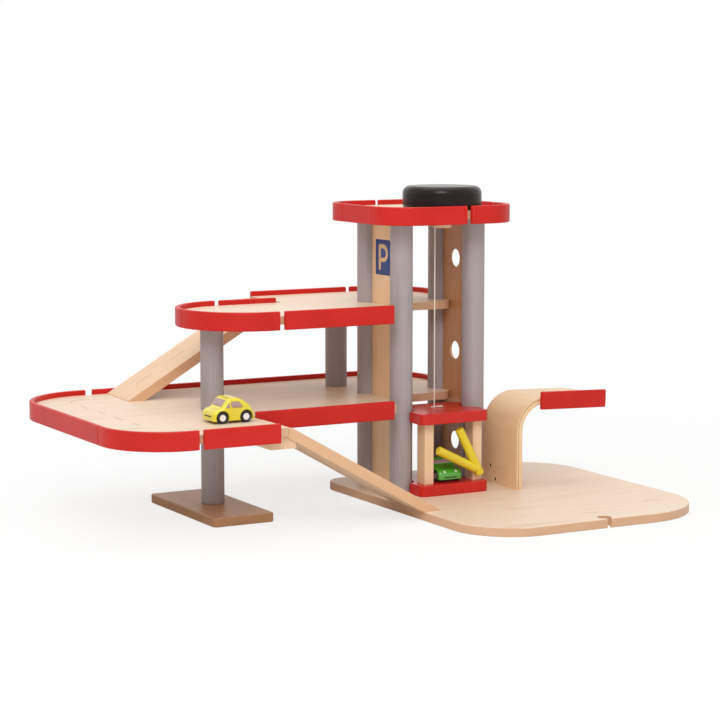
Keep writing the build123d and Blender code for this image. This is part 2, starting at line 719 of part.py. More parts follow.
cleat_high = deck_2_top - deck_thick - cleat_deep
cleat_drop = cleat_width / 2 * math.sin(skew) * math.tan(upper_angle) + ramp_gap
cleat_seat = upper_under + upper_x * math.tan(upper_angle) - cleat_drop
with BuildPart() as ramp_cleat_upper:
    with BuildSketch(Plane.XZ.offset(-tower_y - upper_ramp_y)):
        with BuildLine():
            Polyline(
                (d2_step + cleat_under, cleat_high),
                (d2_step - cleat_out, cleat_high),
                (d2_step - cleat_out, cleat_seat - cleat_out * math.tan(upper_angle)),
                (d2_step, cleat_seat),
                (d2_step, deck_2_top - deck_thick),
                (d2_step + cleat_under, deck_2_top - deck_thick),
                close=True,
            )
        make_face()
    extrude(amount=cleat_width / 2, both=True)
ramp_cleat_upper.part.label = "ramp_cleat_upper"
export_step(ramp_cleat_upper.part, "parts/ramp_cleat_upper.step")

# ---- lift cabin -----------------------------------------------------------------------------
lift_left = bx + panel_thick / 2 + lift_side_gap
lift_right = dx - panel_thick / 2 - lift_side_gap
lift_mid = ((lift_left + lift_right) / 2, tower_y + (lift_back - lift_front) / 2)
lift_size = (lift_right - lift_left, lift_front + lift_back)
floor_top = board_thick + lift_plate_thick
cabin_top = floor_top + lift_inner_height
with BuildPart() as lift_floor:
    with BuildSketch(Plane.XY.offset(board_thick)):
        with Locations(lift_mid):
            RectangleRounded(*lift_size, lift_radius)
        with Locations((bx, by), (dx, dy)):
            Circle(column_r + lift_column_gap, mode=Mode.SUBTRACT)
    extrude(amount=lift_plate_thick)
    fillet(lift_floor.faces().filter_by(Axis.Z).edges(), edge_ease)
lift_floor.part.label = "lift_floor"
export_step(lift_floor.part, "parts/lift_floor.step")

with BuildPart() as lift_top:
    with BuildSketch(Plane.XY.offset(cabin_top)):
        with Locations(lift_mid):
            RectangleRounded(*lift_size, lift_radius)
        with Locations((bx, by), (dx, dy)):
            Circle(column_r + lift_column_gap, mode=Mode.SUBTRACT)
    extrude(amount=lift_plate_thick)
    fillet(lift_top.faces().filter_by(Axis.Z).edges(), edge_ease)
lift_top.part.label = "lift_top"
export_step(lift_top.part, "parts/lift_top.step")

post_y = tower_y - post_front + post_width / 2
pin_r = gate_pin_diameter / 2
gate_r = gate_diameter / 2
gx = tower_x + gate_x
arm_y = tower_y - post_front - gate_gap - gate_r
with BuildPart() as lift_post_left:
    with BuildSketch(Plane((tower_x + post_left_x, post_y, floor_top))):
        RectangleRounded(post_length, post_width, post_ease)
    extrude(amount=lift_inner_height)
lift_post_left.part.label = "lift_post_left"
export_step(lift_post_left.part, "parts/lift_post_left.step")

with BuildPart() as lift_post_right:
    with BuildSketch(Plane((tower_x + post_right_x, post_y, floor_top))):
        RectangleRounded(post_length, post_width, post_ease)
    extrude(amount=lift_inner_height)
    with BuildSketch(Plane(origin=(gx, tower_y - post_front, gate_z), z_dir=(0, 1, 0))):
        Circle(pin_r + gate_bore_play)
    extrude(amount=gate_pin_depth + gate_gap, mode=Mode.SUBTRACT)
lift_post_right.part.label = "lift_post_right"
export_step(lift_post_right.part, "parts/lift_post_right.step")

# ---- barrier: two dowel arms in a V, turning on a pin in the right post ----------------------
high_angle, low_angle = math.radians(high_arm_angle), math.radians(low_arm_angle)
high_dir = Vector(-math.cos(high_angle), 0, math.sin(high_angle))
low_dir = Vector(-math.cos(low_angle), 0, math.sin(low_angle))
high_plane = Plane(Vector(gx, arm_y, gate_z) - high_dir * gate_overrun, z_dir=high_dir)
with BuildPart() as gate_high_arm:
    with BuildSketch(high_plane):
        Circle(gate_r)
    extrude(amount=high_arm_length + gate_overrun)
    chamfer(gate_high_arm.edges().filter_by(GeomType.CIRCLE), gate_chamfer)
    with BuildSketch(Plane.XZ.offset(-arm_y)):
        with Locations((gx, gate_z)):
            Circle(pin_r)
    extrude(amount=gate_r, both=True, mode=Mode.SUBTRACT)
gate_high_arm.part.label = "gate_high_arm"
export_step(gate_high_arm.part, "parts/gate_high_arm.step")

# The low arm's inner end is coped to sit on the side of the high arm.
with BuildPart() as gate_low_arm:
    with BuildSketch(Plane(Vector(gx, arm_y, gate_z) + low_dir * gate_r, z_dir=low_dir)):
        Circle(gate_r)
    extrude(amount=low_arm_length - gate_r)
    chamfer(gate_low_arm.edges().filter_by(GeomType.CIRCLE).sort_by(Axis.X)[0], gate_chamfer)
    with BuildSketch(high_plane):
        Circle(gate_r)
    extrude(amount=high_arm_length, mode=Mode.SUBTRACT)
gate_low_arm.part.label = "gate_low_arm"
export_step(gate_low_arm.part, "parts/gate_low_arm.step")

pin_front = arm_y - gate_r + gate_pin_sunk
with BuildPart() as gate_pin:
    with BuildSketch(Plane(origin=(gx, pin_front, gate_z), z_dir=(0, 1, 0))):
        Circle(pin_r)
    extrude(amount=tower_y - post_front + gate_pin_depth - pin_front)
gate_pin.part.label = "gate_pin"
export_step(gate_pin.part, "parts/gate_pin.step")

# ---- winch: wheel and drum on a shaft through the roof, held by a collar underneath -----------
wheel_low = roof_top + wheel_gap
wheel_top = wheel_low + wheel_height
drum_low = roof_top + winch_gap
drum_top = drum_low + drum_height
shaft_top = drum_top + shaft_grip
collar_low = roof_under - winch_gap - collar_height
cavity_r = drum_r + cord_diameter + cavity_play
winch_plane = Plane(origin=(wx, wy, 0), x_dir=(1, 0, 0), z_dir=(0, -1, 0))
winch_axis = Axis((wx, wy, 0), (0, 0, 1))
with BuildPart() as winch_wheel:
    with BuildSketch(winch_plane):
        with BuildLine():
            FilletPolyline(
                (0, shaft_top),
                (0, wheel_top),
                (wheel_diameter / 2, wheel_top),
                (wheel_diameter / 2, wheel_low),
                (cavity_r, wheel_low),
                (cavity_r, drum_top),
                (shaft_r, drum_top),
                (shaft_r, shaft_top),
                radius=[0, 0, wheel_top_round, wheel_bottom_round, 0, 0, 0, 0],
                close=True,
            )
        make_face()
    revolve(axis=winch_axis)
winch_wheel.part.label = "winch_wheel"
export_step(winch_wheel.part, "parts/winch_wheel.step")

with BuildPart() as winch_drum:
    with BuildSketch(Plane((wx, wy, drum_low))):
        Circle(drum_r)
        Circle(shaft_r, mode=Mode.SUBTRACT)
    extrude(amount=drum_height)
winch_drum.part.label = "winch_drum"
export_step(winch_drum.part, "parts/winch_drum.step")

with BuildPart() as winch_shaft:
    with BuildSketch(Plane((wx, wy, collar_low))):
        Circle(shaft_r)
    extrude(amount=shaft_top - collar_low)
winch_shaft.part.label = "winch_shaft"
export_step(winch_shaft.part, "parts/winch_shaft.step")

with BuildPart() as winch_collar:
    with BuildSketch(Plane((wx, wy, collar_low))):
        Circle(collar_diameter / 2)
        Circle(shaft_r, mode=Mode.SUBTRACT)
    extrude(amount=collar_height)
    fillet(winch_collar.edges().filter_by(GeomType.CIRCLE).sort_by(SortBy.RADIUS)[-2:], edge_ease)
winch_collar.part.label = "winch_collar"
export_step(winch_collar.part, "parts/winch_collar.step")

# ---- hoist cord: turns on the drum, straight run down to the cabin, stitch over its top --------
turn_pitch = cord_diameter * 0.95
turn_low = drum_low + cord_r + winding_lift
with BuildPart() as cord_winding:
    with BuildSketch(winch_plane):
        with Locations(*[(drum_r + cord_r, turn_low + i * turn_pitch) for i in range(cord_turns)]):
            Circle(cord_r)
    revolve(axis=winch_axis)
cord_winding.part.label = "cord_winding"
export_step(cord_winding.part, "parts/cord_winding.step")

cord_foot = cabin_top + lift_plate_thick
cord_head = turn_low - cord_r - cord_end_gap
with BuildPart() as hoist_cord:
    with BuildSketch(Plane((cord_x, cord_y, cord_foot))):
        Circle(cord_r)
    extrude(amount=cord_head - cord_foot)
hoist_cord.part.label = "hoist_cord"
export_step(hoist_cord.part, "parts/hoist_cord.step")

with BuildPart() as cord_stitch:
    with BuildSketch(Plane(origin=(cord_x - stitch_back, cord_y + 2 * cord_diameter, cord_foot + cord_r),
                           z_dir=(1, 0, 0))):
        Circle(cord_r)
    extrude(amount=stitch_length)
    fillet(cord_stitch.edges().filter_by(GeomType.CIRCLE), cord_r * 0.6)
cord_stitch.part.label = "cord_stitch"
export_step(cord_stitch.part, "parts/cord_stitch.step")

# ---- canopy: bent plywood on the base board, screwed to a block behind its foot ----------------
canopy_left = tower_x + canopy_x
canopy_mid = canopy_left + canopy_thick / 2
canopy_y = tower_y + canopy_front + canopy_width / 2
canopy_back = canopy_y + canopy_width / 2
droop = math.tan(math.radians(canopy_droop))
bend_x = canopy_left + canopy_radius
bend_z = canopy_height - canopy_thick / 2
canopy_end = canopy_left + canopy_reach
end_z = bend_z - (canopy_end - bend_x) * droop
with BuildPart() as canopy_arch:
    with BuildLine():
        FilletPolyline(
            (canopy_mid, canopy_y, board_thick),
            (canopy_mid, canopy_y, bend_z + (bend_x - canopy_mid) * droop),
            (canopy_end, canopy_y, end_z),
            radius=canopy_radius - canopy_thick / 2,
        )
    with BuildSketch(Plane((canopy_mid, canopy_y, board_thick))):
        Rectangle(canopy_thick, canopy_width)
    sweep()
    fillet(
        canopy_arch.edges().sort_by_distance((canopy_end, canopy_back, end_z))[0],
        canopy_corner,
    )
    with BuildSketch(Plane.YZ.offset(canopy_left)):
        with Locations(*[(tower_y + y, z) for y, z in screw_seats]):
            Circle(screw_head / 2 + screw_play)
    extrude(amount=screw_sunk + screw_head_thick, mode=Mode.SUBTRACT)
    with BuildSketch(Plane.YZ.offset(canopy_left)):
        with Locations(*[(tower_y + y, z) for y, z in screw_seats]):
            Circle(screw_shank / 2)
    extrude(amount=canopy_thick, mode=Mode.SUBTRACT)
canopy_arch.part.label = "canopy_arch"
export_step(canopy_arch.part, "parts/canopy_arch.step")

block_left = canopy_left + canopy_thick
block_y = tower_y + sum(y for y, z in screw_seats) / len(screw_seats)
with BuildPart() as canopy_block:
    with BuildSketch(Plane((block_left + canopy_block_x / 2, block_y, board_thick))):
        Rectangle(canopy_block_x, canopy_block_y)
    extrude(amount=canopy_block_z)
    chamfer(canopy_block.faces().sort_by(Axis.Z)[-1].edges().sort_by(Axis.X)[-1], canopy_block_chamfer)
    with BuildSketch(Plane.YZ.offset(block_left)):
        with Locations(*[(tower_y + y, z) for y, z in screw_seats]):
            Circle(screw_shank / 2)
    extrude(amount=screw_length - canopy_thick + screw_sunk, mode=Mode.SUBTRACT)
canopy_block.part.label = "canopy_block"
export_step(canopy_block.part, "parts/canopy_block.step")

with BuildPart() as canopy_screws:
    with BuildSketch(Plane.YZ.offset(canopy_left + screw_sunk)):
        with Locations(*[(tower_y + y, z) for y, z in screw_seats]):
            Circle(screw_head / 2)
    extrude(amount=screw_head_thick)
    with BuildSketch(Plane.YZ.offset(canopy_left + screw_sunk)):
        with Locations(*[(tower_y + y, z) for y, z in screw_seats]):
            Circle(screw_shank / 2)
    extrude(amount=screw_length)
canopy_screws.part.label = "canopy_screws"
export_step(canopy_screws.part, "parts/canopy_screws.step")

rail_start = canopy_left + canopy_rail_start
rail_stop = rail_start + canopy_rail_length
rail_y = canopy_y - canopy_width / 2 - rail_out
with BuildPart() as canopy_rail:
    with BuildLine() as path:
        Line(
            (rail_start, rail_y, bend_z - (rail_start - bend_x) * droop),
            (rail_stop, rail_y, bend_z - (rail_stop - bend_x) * droop),
        )
    with BuildSketch(Plane(origin=path.wire() @ 0, x_dir=(0, -1, 0), z_dir=path.wire() % 0)):
        RectangleRounded(rail_thick, rail_height, rail_round)
    sweep()
    fillet(rail_caps(canopy_rail), rail_end_round)
canopy_rail.part.label = "canopy_rail"
export_step(canopy_rail.part, "parts/canopy_rail.step")

# ---- cars -----------------------------------------------------------------------------------
tyre_r, hub_r, axle_r = tyre_diameter / 2, hub_diameter / 2, axle_diameter / 2
half_long, half_wide, half_base = car_length / 2, car_width / 2, wheel_base / 2
well_r = tyre_r + wheel_well
well_deep = tyre_width + wheel_well / 2
yellow_plane = Plane(origin=(tower_x + yellow_x, tower_y + yellow_y, deck_1_top), x_dir=(-1, 0, 0),
                     z_dir=(0, 1, 0))
green_plane = Plane(origin=(tower_x + green_x, tower_y + green_y, floor_top), x_dir=(0, -1, 0),
                    z_dir=(-1, 0, 0))

with BuildPart(yellow_plane) as yellow_body:
    with BuildSketch(yellow_plane):
        with BuildLine():
            FilletPolyline(
                (-half_long, car_clear),
                (half_long, car_clear),
                (half_long, yellow_height * 0.5),
                (half_long * 0.62, yellow_height * 0.6),
                (half_long * 0.28, yellow_height),
                (-half_long * 0.25, yellow_height),
                (-half_long * 0.74, yellow_height * 0.72),
                (-half_long, yellow_height * 0.36),
                radius=[0, 0, 6, 6, 9, 18, 18, 7],
                close=True,
            )
        make_face()
    extrude(amount=half_wide, both=True)
    sides = yellow_body.faces().filter_by(Axis.Y).edges()
    fillet(sides.filter_by(lambda e: e.center().Z > deck_1_top + car_clear + 0.1), car_side_round)
    with BuildSketch(yellow_plane.offset(half_wide - well_deep), yellow_plane.offset(-half_wide)):
        with Locations((-half_base, tyre_r), (half_base, tyre_r)):
            Circle(well_r)
    extrude(amount=well_deep, mode=Mode.SUBTRACT)
    with BuildSketch(yellow_plane):
        with Locations((-half_base, tyre_r), (half_base, tyre_r)):
            Circle(axle_r + axle_play)
    extrude(amount=half_wide, both=True, mode=Mode.SUBTRACT)
    with BuildSketch(yellow_plane.offset(half_wide - glass_depth), yellow_plane.offset(-half_wide)):
        with BuildLine():
            FilletPolyline(
                (half_long * 0.45, yellow_height * 0.61),
                (half_long * 0.22, yellow_height * 0.86),
                (-half_long * 0.2, yellow_height * 0.86),
                (-half_long * 0.42, yellow_height * 0.61),
                radius=[1, 4, 3, 1],
                close=True,
            )
        make_face()
        with Locations((half_long * 0.2, yellow_height * 0.735)):
            Rectangle(glass_pillar, yellow_height * 0.4, rotation=-12, mode=Mode.SUBTRACT)
    extrude(amount=glass_depth, mode=Mode.SUBTRACT)
yellow_body.part.label = "yellow_body"
export_step(yellow_body.part, "parts/yellow_body.step")

with BuildPart() as green_body:
    with BuildSketch(green_plane):
        with BuildLine():
            FilletPolyline(
                (-half_long, car_clear),
                (half_long, car_clear),
                (half_long, green_height * 0.54),
                (half_long * 0.3, green_height * 0.72),
                (-half_long * 0.04, green_height),
                (-half_long * 0.55, green_height),
                (-half_long, green_height * 0.6),
                radius=[0, 0, 9, 8, 8, 8, 8],
                close=True,
            )
        make_face()
    extrude(amount=half_wide, both=True)
    sides = green_body.faces().filter_by(Axis.X).edges()
    fillet(sides.filter_by(lambda e: e.center().Z > floor_top + car_clear + 0.1), car_side_round)
    with BuildSketch(green_plane.offset(half_wide - well_deep), green_plane.offset(-half_wide)):
        with Locations((-half_base, tyre_r), (half_base, tyre_r)):
            Circle(well_r)
    extrude(amount=well_deep, mode=Mode.SUBTRACT)
    with BuildSketch(green_plane):
        with Locations((-half_base, tyre_r), (half_base, tyre_r)):
            Circle(axle_r + axle_play)
    extrude(amount=half_wide, both=True, mode=Mode.SUBTRACT)
    with BuildSketch(green_plane.offset(half_wide - glass_depth), green_plane.offset(-half_wide)):
        with BuildLine():
            FilletPolyline(
                (half_long * 0.12, green_height * 0.68),
                (-half_long * 0.08, green_height * 0.88),
                (-half_long * 0.5, green_height * 0.88),
                (-half_long * 0.7, green_height * 0.68),
                radius=[1, 2, 2, 1],
                close=True,
            )
        make_face()
    extrude(amount=glass_depth, mode=Mode.SUBTRACT)
green_body.part.label = "green_body"
export_step(green_body.part, "parts/green_body.step")

# Wheelsets: an axle with two wheels, their tyres rounded at the shoulders and the hubs raised.
wheel_in = half_wide - tyre_width
half_profile = (
    (half_wide - 0.3, hub_r),
    (half_wide - 1.1, hub_r),
    (half_wide - 0.2, tyre_r - 1.4),
    (half_wide - 0.2, tyre_r),
    (wheel_in, tyre_r),
    (wheel_in, axle_r),
)
wheelset_outline = [
    (-half_wide + 0.3, 0),
    (half_wide - 0.3, 0),
    *half_profile,
    *[(-x, y) for x, y in reversed(half_profile)],
]
wheelset_radii = [0, 0, 0, 0, 0, 1.2, 1.2, 0, 0, 1.2, 1.2, 0, 0, 0]

yellow_front_wheels_centre = yellow_plane.from_local_coords((half_base, tyre_r, 0))
with BuildPart() as yellow_front_wheels:
    with BuildSketch(Plane(yellow_front_wheels_centre, x_dir=yellow_plane.z_dir, z_dir=yellow_plane.x_dir)):
        with BuildLine():
            FilletPolyline(*wheelset_outline, radius=wheelset_radii, close=True)
        make_face()
    revolve(axis=Axis(yellow_front_wheels_centre, yellow_plane.z_dir))
yellow_front_wheels.part.label = "yellow_front_wheels"
export_step(yellow_front_wheels.part, "parts/yellow_front_wheels.step")

yellow_rear_wheels_centre = yellow_plane.from_local_coords((-half_base, tyre_r, 0))
with BuildPart() as yellow_rear_wheels:
    with BuildSketch(Plane(yellow_rear_wheels_centre, x_dir=yellow_plane.z_dir, z_dir=yellow_plane.x_dir)):
        with BuildLine():
            FilletPolyline(*wheelset_outline, radius=wheelset_radii, close=True)
        make_face()
    revolve(axis=Axis(yellow_rear_wheels_centre, yellow_plane.z_dir))
yellow_rear_wheels.part.label = "yellow_rear_wheels"
export_step(yellow_rear_wheels.part, "parts/yellow_rear_wheels.step")

green_front_wheels_centre = green_plane.from_local_coords((half_base, tyre_r, 0))
with BuildPart() as green_front_wheels:
    with BuildSketch(Plane(green_front_wheels_centre, x_dir=green_plane.z_dir, z_dir=green_plane.x_dir)):
        with BuildLine():
            FilletPolyline(*wheelset_outline, radius=wheelset_radii, close=True)
        make_face()
    revolve(axis=Axis(green_front_wheels_centre, green_plane.z_dir))
green_front_wheels.part.label = "green_front_wheels"
export_step(green_front_wheels.part, "parts/green_front_wheels.step")

green_rear_wheels_centre = green_plane.from_local_coords((-half_base, tyre_r, 0))
with BuildPart() as green_rear_wheels:
    with BuildSketch(Plane(green_rear_wheels_centre, x_dir=green_plane.z_dir, z_dir=green_plane.x_dir)):
        with BuildLine():
            FilletPolyline(*wheelset_outline, radius=wheelset_radii, close=True)
        make_face()
    revolve(axis=Axis(green_rear_wheels_centre, green_plane.z_dir))
green_rear_wheels.part.label = "green_rear_wheels"
export_step(green_rear_wheels.part, "parts/green_rear_wheels.step")
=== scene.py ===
"""Looks of a wooden toy parking garage with a hand-wound lift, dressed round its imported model.

Lengths are in metres. Names that end in mm, the points of the lane dashes and the measures of
the cars' painted parts are in millimetres.
"""

import math

import bpy
import numpy as np
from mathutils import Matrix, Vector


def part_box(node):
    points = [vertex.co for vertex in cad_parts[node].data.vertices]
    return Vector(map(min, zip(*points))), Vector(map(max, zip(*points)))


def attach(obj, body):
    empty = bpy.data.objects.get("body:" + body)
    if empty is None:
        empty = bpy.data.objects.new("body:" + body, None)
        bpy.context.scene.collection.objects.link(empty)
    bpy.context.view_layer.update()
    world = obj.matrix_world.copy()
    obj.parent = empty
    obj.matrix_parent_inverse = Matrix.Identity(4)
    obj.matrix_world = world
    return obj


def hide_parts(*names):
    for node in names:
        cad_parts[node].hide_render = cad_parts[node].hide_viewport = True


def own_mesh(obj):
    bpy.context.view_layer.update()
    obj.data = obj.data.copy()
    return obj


MM = 0.001
ABOVE = np.array((0, 0, 1))


# ---- meshes worked out with numpy -----------------------------------------------------------
def raw_mesh(name, points, faces, smooth=True):
    """Mesh object of a list of points and an array of faces with equally many corners."""
    mesh = bpy.data.meshes.new(name)
    mesh.vertices.add(len(points))
    mesh.vertices.foreach_set("co", np.asarray(points, np.float32).ravel())
    faces = np.asarray(faces, np.int32)
    count, corners = faces.shape
    mesh.loops.add(count * corners)
    mesh.loops.foreach_set("vertex_index", faces.ravel())
    mesh.polygons.add(count)
    mesh.polygons.foreach_set("loop_start", np.arange(count, dtype=np.int32) * corners)
    mesh.polygons.foreach_set("use_smooth", np.full(count, smooth))
    mesh.update(calc_edges=True)
    mesh.validate()
    piece = bpy.data.objects.new(name, mesh)
    bpy.context.scene.collection.objects.link(piece)
    return piece


def joined(name, parts):
    """One mesh object of several (points, faces) pairs."""
    start, points, faces = 0, [], []
    for part_points, part_faces in parts:
        points.append(np.asarray(part_points, float).reshape(-1, 3))
        faces.append(np.asarray(part_faces) + start)
        start += len(points[-1])
    return raw_mesh(name, np.vstack(points), np.vstack(faces))


def cells(rows, columns, close_columns=False):
    """Corner numbers of a grid's quads, where close_columns joins the last column to the first."""
    index = np.arange(rows * columns).reshape(rows, columns)
    if close_columns:
        index = np.hstack([index, index[:, :1]])
    quads = np.stack([index[:-1, :-1], index[:-1, 1:], index[1:, 1:], index[1:, :-1]], axis=-1)
    return quads.reshape(-1, 4)


def slab(outline, low, high, ease):
    """Closed flat piece over a convex outline: rings of the outline, drawn in by ease near the
    top, from the underside's middle over the edge to the top's middle. Returns points, faces."""
    dot = 0.001  # share of the outline to which both faces close
    middle = outline.mean(axis=0)
    out = outline - middle
    size = np.linalg.norm(out, axis=1).max()
    steps = [(dot, low), (1, low), (1, high - ease), (1 - ease / size, high), (dot, high)]
    rings = [np.column_stack([middle + out * share, np.full(len(out), z)]) for share, z in steps]
    return np.array(rings), cells(len(steps), len(outline), close_columns=True)[:, ::-1]


def placed(points, origin, right, up, out):
    """Local points carried to a plane at origin with the directions right, up and out."""
    axes = np.array([right, up, out], float)
    return np.asarray(origin, float) + points @ axes


def distances(line):
    """How far along a line each of its points lies: the sum of the steps that lead to it."""
    return np.concatenate([[0], np.cumsum(np.linalg.norm(np.diff(line, axis=0), axis=1))])


# ---- materials ------------------------------------------------------------------------------
def linear(code):
    """Linear colour of an sRGB hex value."""
    value = np.array([int(code[i : i + 2], 16) / 255 for i in (1, 3, 5)])
    value = np.where(value <= 0.04045, value / 12.92, ((value + 0.055) / 1.055) ** 2.4)
    return (*value, 1.0)


def add(tree, kind, values=None, links=None, **settings):
    """A node of that kind, with its settings, its sockets' values and its incoming links."""
    node = tree.nodes.new(kind)
    for key, value in settings.items():
        setattr(node, key, value)
    for key, value in (values or {}).items():
        node.inputs[key].default_value = value
    for key, source in (links or {}).items():
        tree.links.new(source, node.inputs[key])
    return node


def shader(name, **values):
    """A new material with its Principled shader's sockets set, and its tree."""
    material = bpy.data.materials.new(name)
    material.use_nodes = True
    principled = material.node_tree.nodes["Principled BSDF"]
    for key, value in values.items():
        principled.inputs[key.replace("_", " ")].default_value = value
    return material, material.node_tree, principled


def wood(name, pale, dark, pores, grain=(1, 0, 0), turn=(0, 0), wave_mm=16.0, contrast=0.5,
         edge=None, **values):
    """Lacquered wood. Three patterns are stretched along the grain: broad wavy figure of the
    growth rings, fine fibres, and short dark pores. The fibres also make the bump. Faces that
    stand upright take the edge colour, a painted shade that makes them darker than the tops."""
    settings = {"Roughness": 0.46, "Coat_Weight": 0.12, "Coat_Roughness": 0.3, **values}
    material, tree, principled = shader(name, **settings)
    where = add(tree, "ShaderNodeTexCoord").outputs["Object"]
    if any(turn):  # degrees about Y, then about Z, which bring a sloping board's grain level
        angles = (0, math.radians(turn[0]), math.radians(turn[1]))
        where = add(tree, "ShaderNodeMapping", {"Rotation": angles}, {"Vector": where}).outputs[0]

    def stretched(along_mm, across_mm):
        """The place, scaled so that a pattern's cell has this length and width of grain."""
        scale = [1000 / (along_mm if axis else across_mm) for axis in grain]
        return add(tree, "ShaderNodeMapping", {"Scale": scale}, {"Vector": where}).outputs[0]

    # Growth rings: the sine of a broad cloud, nine radians from its lowest to its highest.
    broad = add(tree, "ShaderNodeTexNoise",
                {"Scale": 1.0, "Detail": 3.0, "Roughness": 0.5, "Distortion": 0.6},
                {"Vector": stretched(150, wave_mm)}).outputs["Fac"]
    rings = add(tree, "ShaderNodeMath", {1: 9.0}, {0: broad}, operation="MULTIPLY").outputs[0]
    rings = add(tree, "ShaderNodeMath", {}, {0: rings}, operation="SINE").outputs[0]
    rings = add(tree, "ShaderNodeMapRange", {"From Min": -1.0, "From Max": 1.0},
                {"Value": rings}).outputs[0]
    # Fibres make up the rest of the tone. With more contrast, more of it stays fully pale.
    fibre = add(tree, "ShaderNodeTexNoise", {"Scale": 1.0, "Detail": 6.0, "Roughness": 0.62},
                {"Vector": stretched(40, 0.9)}).outputs["Fac"]
    tone = add(tree, "ShaderNodeMix", {0: 0.45}, {2: fibre, 3: rings},
               data_type="FLOAT").outputs[0]
    tone = add(tree, "ShaderNodeMapRange",
               {"From Min": 0.5 - 0.5 * (1.1 - contrast), "From Max": 0.98},
               {"Value": tone}).outputs[0]
    colour = add(tree, "ShaderNodeMix", {6: linear(pale), 7: linear(dark)}, {0: tone},
                 data_type="RGBA").outputs[2]
    speck = add(tree, "ShaderNodeTexNoise", {"Scale": 1.0, "Detail": 2.0, "Roughness": 0.5},
                {"Vector": stretched(9, 0.45)}).outputs["Fac"]
    speck = add(tree, "ShaderNodeMapRange", {"From Min": 0.68, "From Max": 0.8, "To Max": 0.35},
                {"Value": speck}).outputs[0]
    colour = add(tree, "ShaderNodeMix", {7: linear(pores)}, {0: speck, 6: colour},
                 data_type="RGBA").outputs[2]
    # Painted shade: faces that stand upright are mixed towards the darker edge colour.
    if edge:
        facing = add(tree, "ShaderNodeTexCoord").outputs["Normal"]
        facing = add(tree, "ShaderNodeSeparateXYZ", {}, {0: facing}).outputs[2]
        level = add(tree, "ShaderNodeMath", {}, {0: facing}, operation="ABSOLUTE").outputs[0]
        upright = add(tree, "ShaderNodeMapRange",
                      {"From Min": 0.25, "From Max": 0.8, "To Min": 0.8, "To Max": 0.0},
                      {"Value": level}).outputs[0]
        colour = add(tree, "ShaderNodeMix", {7: linear(edge)}, {0: upright, 6: colour},
                     data_type="RGBA").outputs[2]
    tree.links.new(colour, principled.inputs["Base Color"])
    bump = add(tree, "ShaderNodeBump", {"Strength": 0.18, "Distance": 0.0002}, {"Height": fibre})
    tree.links.new(bump.outputs[0], principled.inputs["Normal"])
    return material


def paint(name, colour, shade, grit_mm=1.1, show=0.15, **values):
    """Paint sprayed on wood: the film is a touch uneven in colour, and its bump is fine orange
    peel with the wood's fibres showing faintly through."""
    settings = {"Roughness": 0.38, "Coat_Weight": 0.2, "Coat_Roughness": 0.22, **values}
    material, tree, principled = shader(name, **settings)
    where = add(tree, "ShaderNodeTexCoord").outputs["Object"]
    cloud = add(tree, "ShaderNodeTexNoise", {"Scale": 22.0, "Detail": 3.0},
                {"Vector": where}).outputs["Fac"]
    scale = [1000 / fibre_mm for fibre_mm in (45, 1.3, 1.3)]
    fibres = add(tree, "ShaderNodeMapping", {"Scale": scale}, {"Vector": where}).outputs[0]
    fibres = add(tree, "ShaderNodeTexNoise", {"Scale": 1.0, "Detail": 4.0},
                 {"Vector": fibres}).outputs["Fac"]
    tone = add(tree, "ShaderNodeMix", {0: show}, {2: cloud, 3: fibres},
               data_type="FLOAT").outputs[0]
    tone = add(tree, "ShaderNodeMapRange", {"From Min": 0.35, "From Max": 0.75},
               {"Value": tone}).outputs[0]
    mixed = add(tree, "ShaderNodeMix", {6: linear(colour), 7: linear(shade)}, {0: tone},
                data_type="RGBA")
    tree.links.new(mixed.outputs[2], principled.inputs["Base Color"])
    peel = add(tree, "ShaderNodeTexNoise", {"Scale": 1000 / grit_mm, "Detail": 2.0},
               {"Vector": where}).outputs["Fac"]
    relief = add(tree, "ShaderNodeMix", {0: 0.5}, {2: peel, 3: fibres},
                 data_type="FLOAT").outputs[0]
    bump = add(tree, "ShaderNodeBump", {"Strength": 0.1, "Distance": 0.00012},
               {"Height": relief})
    tree.links.new(bump.outputs[0], principled.inputs["Normal"])
    return material


